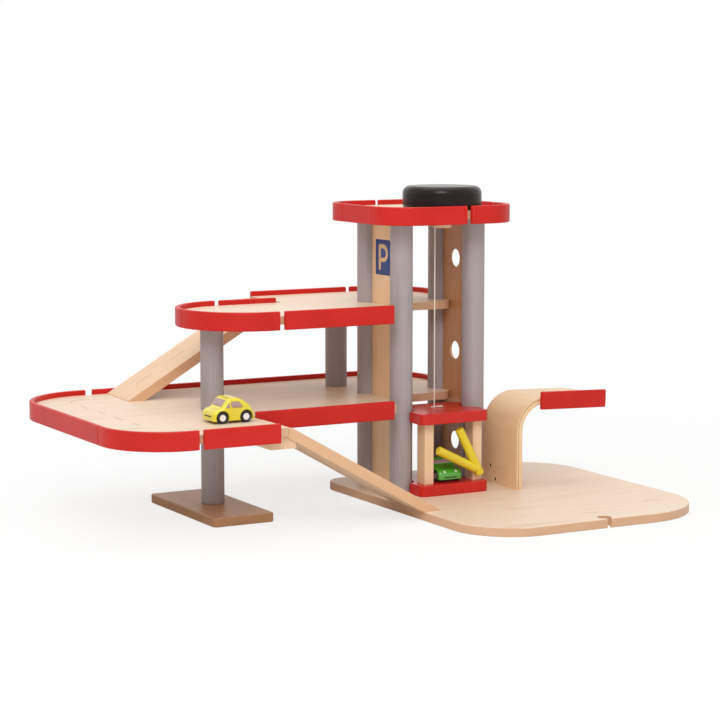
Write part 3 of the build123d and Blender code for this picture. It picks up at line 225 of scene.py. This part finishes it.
def bent_plywood(name, bend_x, bend_z, radius, droop, thick, veneer, dark, glue):
    """Three-ply beech. The depth under the outer face is the bend's radius less the distance
    from its centre, counted only to the left of it and above it, so that the plies run up the
    foot, round the bend and along the top. Three over the thickness turns it into a count of
    plies. The middle ply is paler, and a glue line lies where it meets the outer one."""
    material = wood(name, veneer, dark, "#8a6a4c", grain=(0, 1, 0), wave_mm=22.0, contrast=0.4)
    tree = material.node_tree
    principled = tree.nodes["Principled BSDF"]
    place = add(tree, "ShaderNodeTexCoord").outputs["Object"]
    axes = add(tree, "ShaderNodeSeparateXYZ", {}, {0: place}).outputs
    past = add(tree, "ShaderNodeMath", {1: bend_x}, {0: axes[0]},
               operation="SUBTRACT").outputs[0]
    before = add(tree, "ShaderNodeMath", {0: 0.0}, {1: past}, operation="SUBTRACT").outputs[0]
    before = add(tree, "ShaderNodeMath", {1: 0.0}, {0: before}, operation="MAXIMUM").outputs[0]
    # The top sinks to the right, so a point there counts as higher by the droop's share.
    fall = add(tree, "ShaderNodeMath", {1: droop, 2: -bend_z}, {0: past},
               operation="MULTIPLY_ADD").outputs[0]
    above = add(tree, "ShaderNodeMath", {}, {0: axes[2], 1: fall}, operation="ADD").outputs[0]
    above = add(tree, "ShaderNodeMath", {1: 0.0}, {0: above}, operation="MAXIMUM").outputs[0]
    square = add(tree, "ShaderNodeMath", {}, {0: above, 1: above},
                 operation="MULTIPLY").outputs[0]
    reach = add(tree, "ShaderNodeMath", {}, {0: before, 1: before, 2: square},
                operation="MULTIPLY_ADD").outputs[0]
    reach = add(tree, "ShaderNodeMath", {}, {0: reach}, operation="SQRT").outputs[0]
    depth = add(tree, "ShaderNodeMath", {0: radius}, {1: reach},
                operation="SUBTRACT").outputs[0]
    ply = add(tree, "ShaderNodeMath", {1: 3 / thick}, {0: depth},
              operation="MULTIPLY").outputs[0]
    # The line peaks at each odd count. Only the one at 1 is inside, away from both faces.
    line = add(tree, "ShaderNodeMath", {1: 1.0}, {0: ply}, operation="PINGPONG").outputs[0]
    inside = add(tree, "ShaderNodeMath", {1: 1.5, 2: 1.2}, {0: ply},
                 operation="COMPARE").outputs[0]
    line = add(tree, "ShaderNodeMapRange", {"From Min": 0.72, "From Max": 1.0, "To Max": 1.0},
               {"Value": line}).outputs[0]
    line = add(tree, "ShaderNodeMath", {}, {0: line, 1: inside},
               operation="MULTIPLY").outputs[0]
    core = add(tree, "ShaderNodeMath", {1: 1.5, 2: 0.5}, {0: ply},
               operation="COMPARE").outputs[0]
    core = add(tree, "ShaderNodeMath", {1: 0.45}, {0: core}, operation="MULTIPLY").outputs[0]
    base = principled.inputs["Base Color"].links[0].from_socket
    mixed = add(tree, "ShaderNodeMix", {7: linear("#f0d2a4")}, {0: core, 6: base},
                data_type="RGBA").outputs[2]
    mixed = add(tree, "ShaderNodeMix", {7: linear(glue)}, {0: line, 6: mixed},
                data_type="RGBA").outputs[2]
    tree.links.new(mixed, principled.inputs["Base Color"])
    return material


def plain(name, colour, shade, scale_mm=3.0, relief=0.05, **values):
    """An even surface: faint clouds of a second tone, and a fine bump."""
    material, tree, principled = shader(name, **values)
    where = add(tree, "ShaderNodeTexCoord").outputs["Object"]
    cloud = add(tree, "ShaderNodeTexNoise", {"Scale": 1000 / scale_mm, "Detail": 4.0},
                {"Vector": where}).outputs["Fac"]
    mixed = add(tree, "ShaderNodeMix", {6: linear(colour), 7: linear(shade)}, {0: cloud},
                data_type="RGBA")
    tree.links.new(mixed.outputs[2], principled.inputs["Base Color"])
    bump = add(tree, "ShaderNodeBump", {"Strength": relief, "Distance": 0.0001},
               {"Height": cloud})
    tree.links.new(bump.outputs[0], principled.inputs["Normal"])
    return material


def wheel_rubber(name, node, axle, hub_mm, hub, rim):
    """Tyre rubber round a painted hub: the distance from the axle, which runs through the middle
    of the node, parts the hub from the tyre, and a thin darker ring lies between them."""
    rim_mm, blur_mm = 0.35, 0.08
    material = plain(name, "#211e1f", "#151313", scale_mm=0.8, relief=0.15, Roughness=0.6)
    tree = material.node_tree
    principled = tree.nodes["Principled BSDF"]
    low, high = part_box(node)
    place = add(tree, "ShaderNodeTexCoord").outputs["Object"]
    place = add(tree, "ShaderNodeVectorMath", {1: (low + high) / 2}, {0: place},
                operation="SUBTRACT").outputs[0]
    across = [0.0 if along else 1.0 for along in axle]
    place = add(tree, "ShaderNodeVectorMath", {1: across}, {0: place},
                operation="MULTIPLY").outputs[0]
    far = add(tree, "ShaderNodeVectorMath", {}, {0: place}, operation="LENGTH").outputs["Value"]
    for radius, colour in ((hub_mm + rim_mm, rim), (hub_mm, hub)):
        limits = {"From Min": (radius - blur_mm) * MM, "From Max": (radius + blur_mm) * MM}
        inside = add(tree, "ShaderNodeMapRange", {**limits, "To Min": 1.0, "To Max": 0.0},
                     {"Value": far}).outputs[0]
        base = principled.inputs["Base Color"].links[0].from_socket
        mixed = add(tree, "ShaderNodeMix", {7: linear(colour)}, {0: inside, 6: base},
                    data_type="RGBA").outputs[2]
        tree.links.new(mixed, principled.inputs["Base Color"])
    return material


def dress(node, material):
    """Gives a CAD node its material."""
    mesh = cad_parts[node].data
    mesh.materials.clear()
    mesh.materials.append(material)


def finished(piece, body, material):
    """Rides a new piece on its body and its material."""
    piece.data.materials.append(material)
    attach(piece, body)
    return piece


# ---- the frame ------------------------------------------------------------------------------
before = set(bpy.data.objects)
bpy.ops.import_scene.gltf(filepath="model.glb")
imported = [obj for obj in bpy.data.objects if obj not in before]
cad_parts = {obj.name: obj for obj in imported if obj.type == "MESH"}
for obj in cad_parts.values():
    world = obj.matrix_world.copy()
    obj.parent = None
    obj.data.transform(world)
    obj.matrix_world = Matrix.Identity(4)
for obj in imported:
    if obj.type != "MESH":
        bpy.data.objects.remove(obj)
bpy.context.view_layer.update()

# ---- camera, floor and light ----------------------------------------------------------------
down, bearing = 6.968, -28.88  # degrees below level, and round Z from the view along +Y
camera = bpy.data.objects.new("camera", bpy.data.cameras.new("camera"))
camera.data.sensor_width = 36.0
camera.data.lens = 111.0
camera.data.clip_end = 50.0
camera.location = (-1.4845, -2.2886, 0.509)
camera.rotation_euler = (math.radians(90 - down), 0, math.radians(bearing))
bpy.context.scene.collection.objects.link(camera)
bpy.context.scene.camera = camera
bpy.context.scene.view_settings.view_transform = "Standard"

reach = 8.0
floor_corners = [(-reach, -reach, 0), (reach, -reach, 0), (reach, reach, 0), (-reach, reach, 0)]
floor = raw_mesh("floor", floor_corners, [(0, 1, 2, 3)], smooth=False)
floor_paper, floor_tree, floor_shader = shader("studio_paper", Roughness=0.9,
                                               Specular_IOR_Level=0.1)
floor_shader.inputs["Base Color"].default_value = linear("#f2f2f0")
# Seen by the camera, the paper fades to pure white away from the object, so no horizon shows.
floor_place = add(floor_tree, "ShaderNodeTexCoord").outputs["Object"]
floor_far = add(floor_tree, "ShaderNodeVectorMath", {}, {0: floor_place},
                operation="LENGTH").outputs["Value"]
floor_far = add(floor_tree, "ShaderNodeMapRange",
                {"From Min": 0.25, "From Max": 1.0, "To Min": 0.72, "To Max": 1.0},
                {"Value": floor_far}).outputs[0]
seen = add(floor_tree, "ShaderNodeLightPath").outputs["Is Camera Ray"]
floor_far = add(floor_tree, "ShaderNodeMath", {}, {0: floor_far, 1: seen},
                operation="MULTIPLY").outputs[0]
glow = add(floor_tree, "ShaderNodeEmission",
           {"Color": (1, 1, 1, 1), "Strength": 1.0}).outputs[0]
floor_mix = add(floor_tree, "ShaderNodeMixShader", {},
                {0: floor_far, 1: floor_shader.outputs[0], 2: glow})
floor_tree.links.new(floor_mix.outputs[0], floor_tree.nodes["Material Output"].inputs["Surface"])
floor.data.materials.append(floor_paper)

# The surroundings are white to the camera and in reflections, and a softer light to the rest.
world = bpy.data.worlds.new("studio")
world.use_nodes = True
bpy.context.scene.world = world
sky = world.node_tree
rays = add(sky, "ShaderNodeLightPath").outputs
shown = add(sky, "ShaderNodeMath", {},
            {0: rays["Is Camera Ray"], 1: rays["Is Transmission Ray"]},
            operation="MAXIMUM").outputs[0]
shown = add(sky, "ShaderNodeMath", {}, {0: shown, 1: rays["Is Glossy Ray"]},
            operation="MAXIMUM").outputs[0]
strength = add(sky, "ShaderNodeMapRange", {"To Min": 0.62, "To Max": 1.0},
               {"Value": shown}).outputs[0]
sky.links.new(strength, sky.nodes["Background"].inputs["Strength"])
sky.nodes["Background"].inputs["Color"].default_value = (1, 1, 1, 1)


def lamp(name, place, target, size, watts):
    """A square soft box at place that faces target. It is tipped from straight down by the angle
    whose tangent is the level distance over the drop, and turned towards the target."""
    light = bpy.data.lights.new(name, "AREA")
    light.size, light.energy = size, watts
    box = bpy.data.objects.new(name, light)
    box.location = place
    way = np.subtract(target, place)
    tip = math.atan2(math.hypot(way[0], way[1]), -way[2])
    box.rotation_euler = (tip, 0, math.atan2(way[1], way[0]) - math.pi / 2)
    bpy.context.scene.collection.objects.link(box)


lamp("key", (-1.5, -2.1, 2.2), target=(-0.15, 0.1, 0.15), size=1.5, watts=46.0)
lamp("overhead", (-0.2, 0.3, 2.6), target=(-0.15, 0.1, 0.1), size=2.2, watts=22.0)

# ---- finishes -------------------------------------------------------------------------------
# Lacquered rubberwood: pale cream with a faint pink, straight open grain and short pores.
# Its upright faces take a darker tan: painted shade.
board_wood = wood("rubberwood_board", "#e9d2ba", "#d8b594", "#b08866", grain=(1, 0, 0),
                  edge="#cb9a72")
# The ramps' rubberwood is warmer, and its grain runs up each slope.
# Their upright faces take a darker tan: painted shade.
ramp_wood = wood("rubberwood_ramp", "#eac6a2", "#d8ac83", "#a67c54", turn=(-29.8, 0),
                 wave_mm=12.0, contrast=0.4, edge="#d9a981")
skew_ramp_wood = wood("rubberwood_upper_ramp", "#eac6a2", "#d8ac83", "#a67c54",
                      turn=(30.95, 3), wave_mm=12.0, contrast=0.4, edge="#d9a981")
# The small turned and sawn pieces show finer figure, and the foot board a brown stain.
cleat_wood = wood("rubberwood_cleat", "#e6c29d", "#d2a47a", "#a67c54", grain=(0, 1, 0),
                  wave_mm=9.0)
post_wood = wood("rubberwood_post", "#efcfa9", "#d9ad80", "#aa7f56", grain=(0, 0, 1),
                 wave_mm=6.0)
# The foot board's upright faces take a darker brown: painted shade.
foot_wood = wood("stained_foot_board", "#c79a76", "#a97b58", "#7c5638", grain=(0, 1, 0),
                 edge="#a8764c")
# Birch veneer of the shaft panels, its grain upright and warmer in tone.
left_panel_wood = wood("birch_panel", "#efcaa0", "#dcae80", "#b08459", grain=(0, 0, 1),
                       wave_mm=14.0, contrast=0.4)
# The right panel is the same birch: its darker amber is painted shade for the inside of the shaft.
right_panel_shaded_wood = wood("birch_panel_painted_shade", "#c58e5e", "#a87046", "#865533", grain=(0, 0, 1),
                        wave_mm=14.0, contrast=0.4)
# Thin grey stain: the dowel's fibres still show as streaks along it.
grey_stain = wood("grey_stained_dowel", "#a89e9f", "#8e8485", "#756b6c", grain=(0, 0, 1),
                  wave_mm=9.0, contrast=0.35, Roughness=0.5, Coat_Weight=0.05)
# Enamel sprayed on wood: even colour, a soft sheen on the rails and a wetter one on the cars.
red_paint = paint("red_enamel", "#cb221b", "#bd1c16", Specular_IOR_Level=0.22,
                  Coat_Weight=0.04)
red_lift_paint = paint("red_enamel_lift", "#cb211a", "#ba1a14", Roughness=0.26,
                       Specular_IOR_Level=0.3, Coat_Weight=0.06)
yellow_dowel = paint("yellow_enamel", "#e6d026", "#d3ba1f", grit_mm=0.8)
yellow_car_paint = paint("yellow_car_enamel", "#e8da2e", "#dbc924", grit_mm=0.8, show=0.05,
                         Roughness=0.28, Coat_Weight=0.5, Coat_Roughness=0.12)
green_car_paint = paint("green_car_enamel", "#52b32e", "#3f9c24", grit_mm=0.8, show=0.05,
                        Roughness=0.25, Coat_Weight=0.6, Coat_Roughness=0.1)
# Black lacquer on the wheel: near black with a warm tinge, and a small tight highlight.
black_lacquer = paint("black_lacquer", "#211511", "#140d0b", grit_mm=1.4, show=0.3,
                      Roughness=0.24, Specular_IOR_Level=0.22, Coat_Weight=0.0)
# Dull cotton, and steel browned by heat that only glints.
cotton = plain("cotton_cord", "#f3e9dd", "#d9ccbc", scale_mm=0.5, relief=0.3, Roughness=0.9)
dark_screw = plain("browned_steel", "#3a2f29", "#241c18", scale_mm=1.0, Roughness=0.45,
                   Metallic=0.9)

for finish, nodes in (
    (board_wood, ("base_board", "deck_1_board", "deck_2_board", "roof_board")),
    (post_wood, ("lift_post_left", "lift_post_right", "canopy_block")),
    (foot_wood, ("foot_board",)),
    (ramp_wood, ("ramp_lower",)),
    (skew_ramp_wood, ("ramp_upper",)),
    (cleat_wood, ("ramp_cleat_lower", "ramp_cleat_upper", "winch_drum", "winch_shaft",
                  "winch_collar")),
    (left_panel_wood, ("panel_left",)),
    (right_panel_shaded_wood, ("panel_right",)),
    (grey_stain, [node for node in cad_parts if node.startswith("column")]),
    (red_paint, [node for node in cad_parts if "_rail" in node]),
    (red_lift_paint, ("lift_floor", "lift_top")),
    (yellow_dowel, ("gate_high_arm", "gate_low_arm", "gate_pin")),
    (black_lacquer, ("winch_wheel",)),
    (yellow_car_paint, ("yellow_body",)),
    (green_car_paint, ("green_body",)),
    (cotton, ("cord_winding", "cord_stitch", "hoist_cord")),
    (dark_screw, ("canopy_screws",)),
):
    for node in nodes:
        dress(node, finish)

# Moulded rubber tyres, dull black. The yellow car's hubs are white, the green one's in shade.
for car, axle, hub, rim in (("yellow", (0, 1, 0), "#f3eeea", "#8d8480"),
                            ("green", (1, 0, 0), "#a3948c", "#4a4240")):
    for node in (car + "_front_wheels", car + "_rear_wheels"):
        dress(node, wheel_rubber(node + "_rubber", node, axle, 3.75, hub, rim))

# Bent plywood of the canopy: the plies show as bands along its cut edges.
arch_low, arch_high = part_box("canopy_arch")
arch_bend, arch_thick, arch_droop = 0.042, 0.008, math.tan(math.radians(1.8))
dress("canopy_arch",
      bent_plywood("beech_plywood", arch_low.x + arch_bend, arch_high.z - arch_bend, arch_bend,
                   arch_droop, arch_thick, "#efcda4", "#dcb184", "#8f6238"))

# ---- lane lines: dark brown dashes printed on the boards --------------------------------------
lane_ink = plain("lane_line_brown", "#a98a6b", "#8c6d50", scale_mm=1.5, Roughness=0.6)
ink_mm = 0.06  # height of the print above the wood


def dashes(name, spans, width_mm=0.9):
    """Printed dashes, each a strip along its own line of points: a point's two sides lie half a
    width to the left and right of the line. Each span is an array of points in millimetres."""
    parts = []
    for line in spans:
        line = np.asarray(line, float)
        way = np.gradient(line, axis=0)
        side = np.column_stack([-way[:, 1], way[:, 0], 0 * way[:, 0]])
        side *= width_mm / 2 / np.linalg.norm(side, axis=1, keepdims=True)
        strip = np.stack([line + side, line - side], axis=1) * MM
        parts.append((strip, cells(len(line), 2)))
    return finished(joined(name, parts), "garage", lane_ink)


def straight(a, b, count=6):
    """Points of a straight line from a to b, each one a share of the way along."""
    return np.linspace(a, b, count)


def on_ramp(x, y):
    """The point of the upper ramp's top over x, y: its height rises evenly along both."""
    rise = ramp_slope[0] * (x - ramp_point[0]) + ramp_slope[1] * (y - ramp_point[1])
    return x, y, ramp_point[2] + rise + ink_mm


# Deck 1 has a straight row along its left edge, which ends in a curve round the back corner.
deck_z, lane_x, dash_long = 126 + ink_mm, -491.0, 24.5
row = [straight((lane_x, y, deck_z), (lane_x, y - dash_long, deck_z))
       for y in (215, 162, 109.5, 57)]
bend = np.radians(np.linspace(176, 85, 13))
curve = np.column_stack([-461 + 30 * np.cos(bend), 243 + 28 * np.sin(bend),
                         np.full(len(bend), deck_z)])
dashes("lane_dashes_deck_1", row + [curve])

ramp_point, ramp_slope = (-329.465, 256.422, 183.4), (0.5997, -0.0314)  # on the ramp's top
dashes("lane_dashes_upper_ramp", [straight(on_ramp(-378.5, 259.0), on_ramp(-399.0, 260.1)),
                                  straight(on_ramp(-334.5, 256.7), on_ramp(-355.0, 257.8))])

base_z = 11 + ink_mm
dashes("lane_dashes_base", [straight((-7.5, -154.7, base_z), (16.7, -156.9, base_z)),
                            straight((105.2, -123.1, base_z), (127.6, -127.9, base_z))])

# ---- the parking sign on the shaft's left panel -----------------------------------------------
# Both are screen print: flat colour with a slight sheen.
sign_blue = plain("sign_blue_print", "#2b4a90", "#233e7e", scale_mm=4.0, Roughness=0.45)
sign_letter = plain("sign_letter_cream", "#e9c69c", "#dcb488", scale_mm=4.0, Roughness=0.5)
plate_wide, plate_high, plate_corner = 0.0385, 0.044, 0.0006
letter_wide, letter_high, letter_thick = 0.0235, 0.033, 0.0055
panel_low, panel_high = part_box("panel_left")
sign_middle = (panel_low.x, (panel_low.y + panel_high.y) / 2, 0.3007)
sign_plane = dict(right=(0, -1, 0), up=(0, 0, 1), out=(-1, 0, 0))


def rounded_box(width, height, corner, steps=6):
    """Outline of a rounded rectangle: four quarter circles, one at each corner in turn."""
    turns = np.radians(np.arange(4)[:, None] * 90 + np.linspace(0, 90, steps)[None, :])
    sign_x = np.array([1, -1, -1, 1])[:, None]
    sign_y = np.array([1, 1, -1, -1])[:, None]
    x = sign_x * (width / 2 - corner) + corner * np.cos(turns)
    y = sign_y * (height / 2 - corner) + corner * np.sin(turns)
    return np.column_stack([x.ravel(), y.ravel()])


def stroke(line, width, low, high):
    """A brush stroke with round ends along a line: across it, each row is the line's point moved
    by the half width, which falls to nothing as a half circle over each end."""
    line = np.asarray(line, float)
    way = np.gradient(line, axis=0)
    side = np.column_stack([-way[:, 1], way[:, 0]])
    side /= np.linalg.norm(side, axis=1, keepdims=True)
    run = distances(line)
    near = np.minimum(np.minimum(run, run[-1] - run), width / 2)
    half = np.sqrt(np.maximum((width / 2) ** 2 - (width / 2 - near) ** 2, 1e-12))
    left, right = line + side * half[:, None], line - side * half[:, None]
    rows = [(left, low), (left, high), (right, high), (right, low)]
    points = np.stack([np.column_stack([p, np.full(len(p), z)]) for p, z in rows], axis=1)
    return points, cells(len(line), 4, close_columns=True)


def letter_p(width, height, thick):
    """Centre line of a P: up the stem, then one line along the top, round the bowl and back."""
    left, right = -width / 2 + thick / 2, width / 2 - thick / 2
    top, bottom = height / 2 - thick / 2, -height / 2
    bowl = (height * 0.68 - thick) / 2
    stem = np.column_stack([np.full(50, left), np.linspace(bottom, height / 2, 50)])
    turn = np.radians(np.linspace(90, -90, 40))
    flat = right - bowl
    start = left - thick * 0.4
    arc = np.column_stack([flat + bowl * np.cos(turn), top - bowl + bowl * np.sin(turn)])
    over = np.column_stack([np.linspace(start, flat, 12)[:-1], np.full(11, top)])
    back = np.column_stack([np.linspace(flat, start, 12)[1:], np.full(11, top - 2 * bowl)])
    return stem, np.vstack([over, arc, back])


plate, plate_faces = slab(rounded_box(plate_wide, plate_high, plate_corner),
                          -0.0001, 0.0002, 0.0001)
plate = placed(plate.reshape(-1, 3), sign_middle, **sign_plane)
finished(joined("parking_sign_plate", [(plate, plate_faces)]), "garage",
         sign_blue)

strokes = []
for number, line in enumerate(letter_p(letter_wide, letter_high, letter_thick)):
    top = 0.00032 + 0.00001 * number  # the bowl lies a hair over the stem, so neither flickers
    points, faces = stroke(line, letter_thick, 0.0002, top)
    strokes.append((placed(points.reshape(-1, 3), sign_middle, **sign_plane), faces))
finished(joined("parking_sign_letter", strokes), "garage", sign_letter)

# ---- the cars' painted windows, grilles, and lamps with a painted highlight --------------------
# Brushed on over the enamel: the windows glossy, the grille lines dull, the lamps wet. The
# lamps' bright white is partly headlamp paint and partly a painted highlight.
window_grey = plain("window_paint_mauve", "#b79a98", "#a78a89", scale_mm=5.0, Roughness=0.3)
grille_black = plain("grille_line_black", "#2a211d", "#1c1613", scale_mm=3.0, Roughness=0.5)
lamp_highlight_white = plain("lamp_highlight_paint", "#f4f3ea", "#e9e7da", scale_mm=2.0, Roughness=0.2,
                   Coat_Weight=0.6)

# Each car's middle under its wheels, the way that its nose points, and the way to its right.
cars = {"yellow_car": ((-388.0, 15.0, 126.0), (-1, 0, 0), (0, 1, 0)),
        "green_car": ((-73.5, 62.0, 24.5), (0, -1, 0), (-1, 0, 0))}
half_wide, glass_depth = 17.0, 0.5  # of both cars' bodies, and of their windows' recesses


def rounded(corners, radii, steps=6):
    """Outline of a convex polygon with round corners: each corner's circle touches both of its
    sides, and is followed from the first tangent point to the second."""
    corners = np.asarray(corners, float)
    back, ahead = np.roll(corners, 1, axis=0) - corners, np.roll(corners, -1, axis=0) - corners
    back /= np.linalg.norm(back, axis=1, keepdims=True)
    ahead /= np.linalg.norm(ahead, axis=1, keepdims=True)
    half = np.arccos(np.clip((back * ahead).sum(axis=1), -1, 1)) / 2
    radii = np.broadcast_to(radii, half.shape).astype(float)
    halfway = (back + ahead) / np.linalg.norm(back + ahead, axis=1, keepdims=True)
    centre = corners + halfway * (radii / np.sin(half))[:, None]
    first = corners + back * (radii / np.tan(half))[:, None] - centre
    start, sweep = np.arctan2(first[:, 1], first[:, 0]), np.pi - 2 * half
    angle = start[:, None] + sweep[:, None] * np.linspace(0, 1, steps)
    arc = np.stack([np.cos(angle), np.sin(angle)], axis=-1) * radii[:, None, None]
    return (centre[:, None, :] + arc).reshape(-1, 2)


def car_place(car, along, across, up):
    """Point, in metres, that lies along, across and up from a car's middle on its wheels."""
    origin, forward, rightward = (np.array(way) for way in cars[car])
    return MM * (origin + along * forward + across * rightward + up * ABOVE)


def leaning(car, lean):
    """Right, up and out of a plane across a car's nose end, that leans back from upright: out is
    the cosine of the lean forward and its sine upward, and up is square to it."""
    forward = np.array(cars[car][1])
    turn = math.radians(lean)
    out = math.cos(turn) * forward + math.sin(turn) * ABOVE
    rise = -math.sin(turn) * forward + math.cos(turn) * ABOVE
    return np.cross(rise, out), rise, out


def side_panes(car, outlines):
    """Painted panes in the recesses of both sides. An outline is seen with the nose to the right,
    and is turned over for the car's other side."""
    forward, rightward = (np.array(way) for way in cars[car][1:])
    parts = []
    for corners, radii in outlines:
        for side in (1, -1):
            shape = rounded(corners, radii) * MM
            if side < 0:
                shape = shape[::-1] * (-1, 1)
            points, faces = slab(shape, -0.05 * MM, 0.3 * MM, 0.1 * MM)
            middle = car_place(car, 0, side * (half_wide - glass_depth), 0)
            pane = placed(points.reshape(-1, 3), middle, side * forward, ABOVE, side * rightward)
            parts.append((pane, faces))
    return parts


def patch(car, along, up, lean, width, height, corner):
    """A painted patch across the car's nose end, that leans back by an angle from upright."""
    outline = rounded_box(width * MM, height * MM, corner * MM)
    points, faces = slab(outline, -0.3 * MM, 0.12 * MM, 0.06 * MM)
    return placed(points.reshape(-1, 3), car_place(car, along, 0, up), *leaning(car, lean)), faces


def lamp_highlight_dome(car, along, across, up, lean, radius=1.7, rise=0.45):
    """A small dome: rings whose height falls with the square of their share of the radius."""
    around = np.radians(np.arange(0, 360, 15))
    shares = np.array([0.002, 1.0, 1.0, 0.85, 0.6, 0.3, 0.002])
    heights = np.array([-0.5, -0.5, 0.0, *(rise * (1 - shares[3:] ** 2))])
    rings = np.stack([shares[:, None] * radius * np.cos(around),
                      shares[:, None] * radius * np.sin(around),
                      np.repeat(heights[:, None], len(around), axis=1)], axis=-1) * MM
    middle = car_place(car, along, across, up)
    points = placed(rings.reshape(-1, 3), middle, *leaning(car, lean))
    return points, cells(len(shares), len(around), close_columns=True)[:, ::-1]


# Side windows: corners from the car's middle, forward and up, with the radius of each corner.
yellow_panes = side_panes("yellow_car", [
    (((5.8, 18.15), (11.5, 18.15), (6.9, 23.7)), 0.4),
    (((-10.8, 18.15), (3.3, 18.15), (4.85, 25.1), (-5.15, 25.2)), (0.8, 0.4, 1.0, 3.0))])
green_panes = side_panes("green_car", [
    (((-18.2, 18.5), (2.8, 18.5), (-2.2, 23.6), (-13.1, 23.6)), (0.8, 0.8, 1.8, 1.8))])
# Windscreens lie back on the slope over the bonnet, and the grilles stand at the nose.
yellow_panes.append(patch("yellow_car", along=12.23, up=23.2, lean=37.4, width=24.6,
                          height=9.2, corner=1.6))
green_panes.append(patch("green_car", along=3.87, up=22.87, lean=50.0, width=24.6,
                         height=6.6, corner=1.6))
yellow_grille = patch("yellow_car", along=26.5, up=8.4, lean=0.0, width=18.0, height=1.5,
                      corner=0.6)
green_grille = patch("green_car", along=26.5, up=6.0, lean=0.0, width=17.0, height=1.3,
                     corner=0.5)
# White domes on the green car's nose: headlamps whose white also stands in for two glints, a
# painted highlight.
green_lamp_highlights = [lamp_highlight_dome("green_car", 24.59, across, 13.18, 38.0) for across in (-8.2, 8.2)]
for name, parts, car, slot, finish in (
    ("yellow_windows", yellow_panes, "yellow_car", "yellow_paint", window_grey),
    ("green_windows", green_panes, "green_car", "green_paint", window_grey),
    ("yellow_grille", [yellow_grille], "yellow_car", "yellow_paint", grille_black),
    ("green_grille", [green_grille], "green_car", "green_paint", grille_black),
    ("green_lamp_highlights", green_lamp_highlights, "green_car", "green_paint", lamp_highlight_white),
):
    finished(joined(name, parts), car, finish)

# ---- hoist cord: three cotton strands laid round each other -----------------------------------
cord_low, cord_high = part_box("hoist_cord")
cord_mid = ((cord_low.x + cord_high.x) / 2, (cord_low.y + cord_high.y) / 2)
cord_long, cord_size = cord_high.z - cord_low.z, 0.0018
near_end = 6 * cord_size
# From the lift's top plate to the roof, with a point near each end of the one straight run.
cord_heights = (cord_low.z, cord_low.z + near_end, cord_high.z - near_end, cord_high.z)
route = bpy.data.curves.new("cord_route", "CURVE")
route.dimensions = "3D"
route.resolution_u = 24
spline = route.splines.new("NURBS")
spline.points.add(len(cord_heights) - 1)
spline.points.foreach_set("co", np.array([(*cord_mid, z, 1.0) for z in cord_heights]).ravel())
spline.order_u = 3
spline.use_endpoint_u = True
route_object = bpy.data.objects.new("cord_route", route)
route_line = bpy.data.meshes.new_from_object(route_object)
line = np.empty(len(route_line.vertices) * 3)
route_line.vertices.foreach_get("co", line)
line = line.reshape(-1, 3)
bpy.data.objects.remove(route_object)

# Each strand winds round the cord's centre line: its middle lies offset_mm away from it, in a
# direction that makes one turn in lay_mm, a third of a turn after the strand before.
lay_mm, strand_mm, offset_mm = 6.5, 0.47, 0.43  # one turn, a strand's radius, its distance
run = distances(line)
along = np.linspace(0, run[-1], 420)
centre = np.column_stack([np.interp(along, run, line[:, axis]) for axis in range(3)])
around = np.radians(np.arange(0, 360, 45))
ring = np.stack([np.cos(around), np.sin(around), 0 * around], axis=-1) * strand_mm * MM
strands = []
for strand in range(3):
    angle = 2 * math.pi * (along / (lay_mm * MM) + strand / 3)
    sideways = np.column_stack([np.cos(angle), np.sin(angle), 0 * angle])
    middle = centre + offset_mm * MM * sideways
    rings = [np.repeat(middle[:1, None, :], len(around), axis=1),
             middle[:, None, :] + ring[None, :, :],
             np.repeat(middle[-1:, None, :], len(around), axis=1)]
    faces = cells(len(along) + 2, len(around), close_columns=True)[:, ::-1]
    strands.append((np.concatenate(rings), faces))
cord = joined("hoist_cord_strands", strands)
finished(cord, "garage", cotton)
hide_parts("hoist_cord")
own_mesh(cord)
